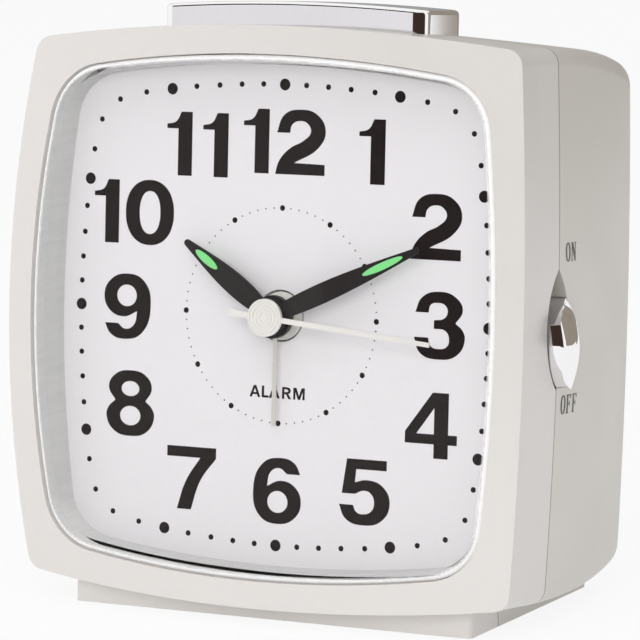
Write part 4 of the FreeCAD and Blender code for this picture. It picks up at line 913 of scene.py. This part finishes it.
def background_paper():
    """White paper: it keeps the object's shadow, and is white to the camera and in reflections."""
    material, tree, shader, where = blank("background_paper")
    preset(shader, PAPER)
    glow = tree.nodes.new("ShaderNodeEmission")
    fibres = noise(tree, where, 2.0)
    tint = mix_colour(tree, spread_value(tree, fibres, 0, 1), (0.995, 0.995, 0.995), (1, 1, 1))
    feed(tree, tint, glow.inputs["Color"])
    share = maths(tree, "MULTIPLY", any_ray(tree, *BACKGROUND_RAYS), PAPER_GLOW)
    show(tree, mixed(tree, share, shader, glow))
    return material


floor_pairs = [
    ((-FLOOR_HALF_WIDTH, y, z), (FLOOR_HALF_WIDTH, y, z)) for y, z in sweep_profile()
]
floor = strip("floor_sweep", floor_pairs, smooth=True)
floor.data.materials.append(background_paper())

CARD_RADIUS = 1.0
CARD_STEP = 5  # degrees
CARD_PATCHES = 90.0  # mm
CARD_SPREAD = 0.06
WARM = (0.30, 0.265, 0.22)

# Name, first and last azimuth in degrees, lower and upper edge, colour.
CARDS = [
    ("dark_card", (-21, 76), (0.002, 1.2), (0.045, 0.028, 0.022)),
    ("grey_card", (-50, -21), (0.002, 0.40), (0.80, 0.79, 0.81)),
    ("upper_card", (-62, -21), (0.55, 1.2), (0.06, 0.045, 0.04)),
    ("left_card", (-178, -135), (0.002, 0.6), (0.36, 0.35, 0.35)),
    ("warm_side_card", (104, 152), (0.045, 0.80), WARM),
    ("warm_back_card", (152, 205), (0.002, 0.80), WARM),
]


def glow_paper(name, colour):
    """Card whose colour stays the same whatever light falls on it."""
    material, tree, shader, where = blank(name)
    glow = tree.nodes.new("ShaderNodeEmission")
    patches = noise(tree, where, CARD_PATCHES)
    low, high = zip(*(around(c, CARD_SPREAD) for c in colour))
    tint = mix_colour(tree, spread_value(tree, patches, 0, 1), low, high)
    feed(tree, tint, glow.inputs["Color"])
    show(tree, glow)
    return material


def card(name, azimuths, heights, colour):
    """A bent card round the clock, for reflections. Azimuth 0 is in front, 90 to the right."""
    first, last = azimuths
    low, high = heights
    steps = math.ceil((last - first) / CARD_STEP)
    pairs = []
    for k in range(steps + 1):
        azimuth = math.radians(first + (last - first) * k / steps)
        x, y = CARD_RADIUS * math.sin(azimuth), -CARD_RADIUS * math.cos(azimuth)
        pairs.append(((x, y, high), (x, y, low)))
    piece = strip(name, pairs, smooth=False)
    piece.data.materials.append(glow_paper(name + "_paper", colour))
    piece.visible_camera = False
    piece.visible_shadow = False
    piece.visible_diffuse = False


LAMP_AIM = (0, 0.02, 0.055)


def lamp(name, centre, size, power, colour=(1, 1, 1)):
    """A soft lamp that lights surfaces but isn't seen in reflections; the cards and paper are."""
    data = bpy.data.lights.new(name, "AREA")
    data.shape = "RECTANGLE"
    data.size, data.size_y = size
    data.energy = power
    data.color = colour
    piece = bpy.data.objects.new(name, data)
    piece.visible_glossy = False
    piece.visible_transmission = False
    bpy.context.scene.collection.objects.link(piece)
    here = Vector(centre)
    turn = (Vector(LAMP_AIM) - here).to_track_quat("-Z", "Y").to_matrix().to_4x4()
    piece.matrix_world = Matrix.Translation(here) @ turn


for name, azimuths, heights, colour in CARDS:
    card(name, azimuths, heights, colour)

lamp("key_lamp", (0.35, -1.30, 0.50), (1.2, 0.8), 9.0, (1.0, 0.985, 0.965))
lamp("left_lamp", (-1.0, -0.9, 0.20), (0.6, 0.6), 0.6)
lamp("top_lamp", (0.1, -0.7, 1.4), (1.2, 0.8), 4.4)

WORLD_FILL = 0.58
world = bpy.data.worlds.new("studio")
bpy.context.scene.world = world
world.use_nodes = True
sky = world.node_tree
background = sky.nodes["Background"]
background.inputs["Color"].default_value = (1, 1, 1, 1)
strength = ramp(sky, any_ray(sky, *BACKGROUND_RAYS), 0.0, 1.0, WORLD_FILL, 1.0)
feed(sky, strength, background.inputs["Strength"])
bpy.context.scene.view_settings.view_transform = "Standard"

# Camera: a long lens in front, to the right and a little above the dial's middle.
CAMERA_PLACE = (389.0, -722.2, 63.0)  # mm, in the dial frame, as the two directions are
CAMERA_RIGHT = (0.8836, 0.4677, 0.0218)
CAMERA_VIEW = (-0.4649, 0.8820, -0.0773)
CAMERA_LENS = 250.0
CAMERA_SENSOR = 36.0
CAMERA_CLIP_START = 0.05

right = turned(CAMERA_RIGHT)
back = -turned(CAMERA_VIEW)
up = back.cross(right).normalized()
right = up.cross(back)
camera_data = bpy.data.cameras.new("camera")
camera_data.lens = CAMERA_LENS
camera_data.sensor_width = CAMERA_SENSOR
camera_data.clip_start = CAMERA_CLIP_START
camera = bpy.data.objects.new("camera", camera_data)
bpy.context.scene.collection.objects.link(camera)
turn = Matrix((right, up, back)).transposed().to_4x4()
camera.matrix_world = Matrix.Translation(on_dial(*CAMERA_PLACE)) @ turn
bpy.context.scene.camera = camera
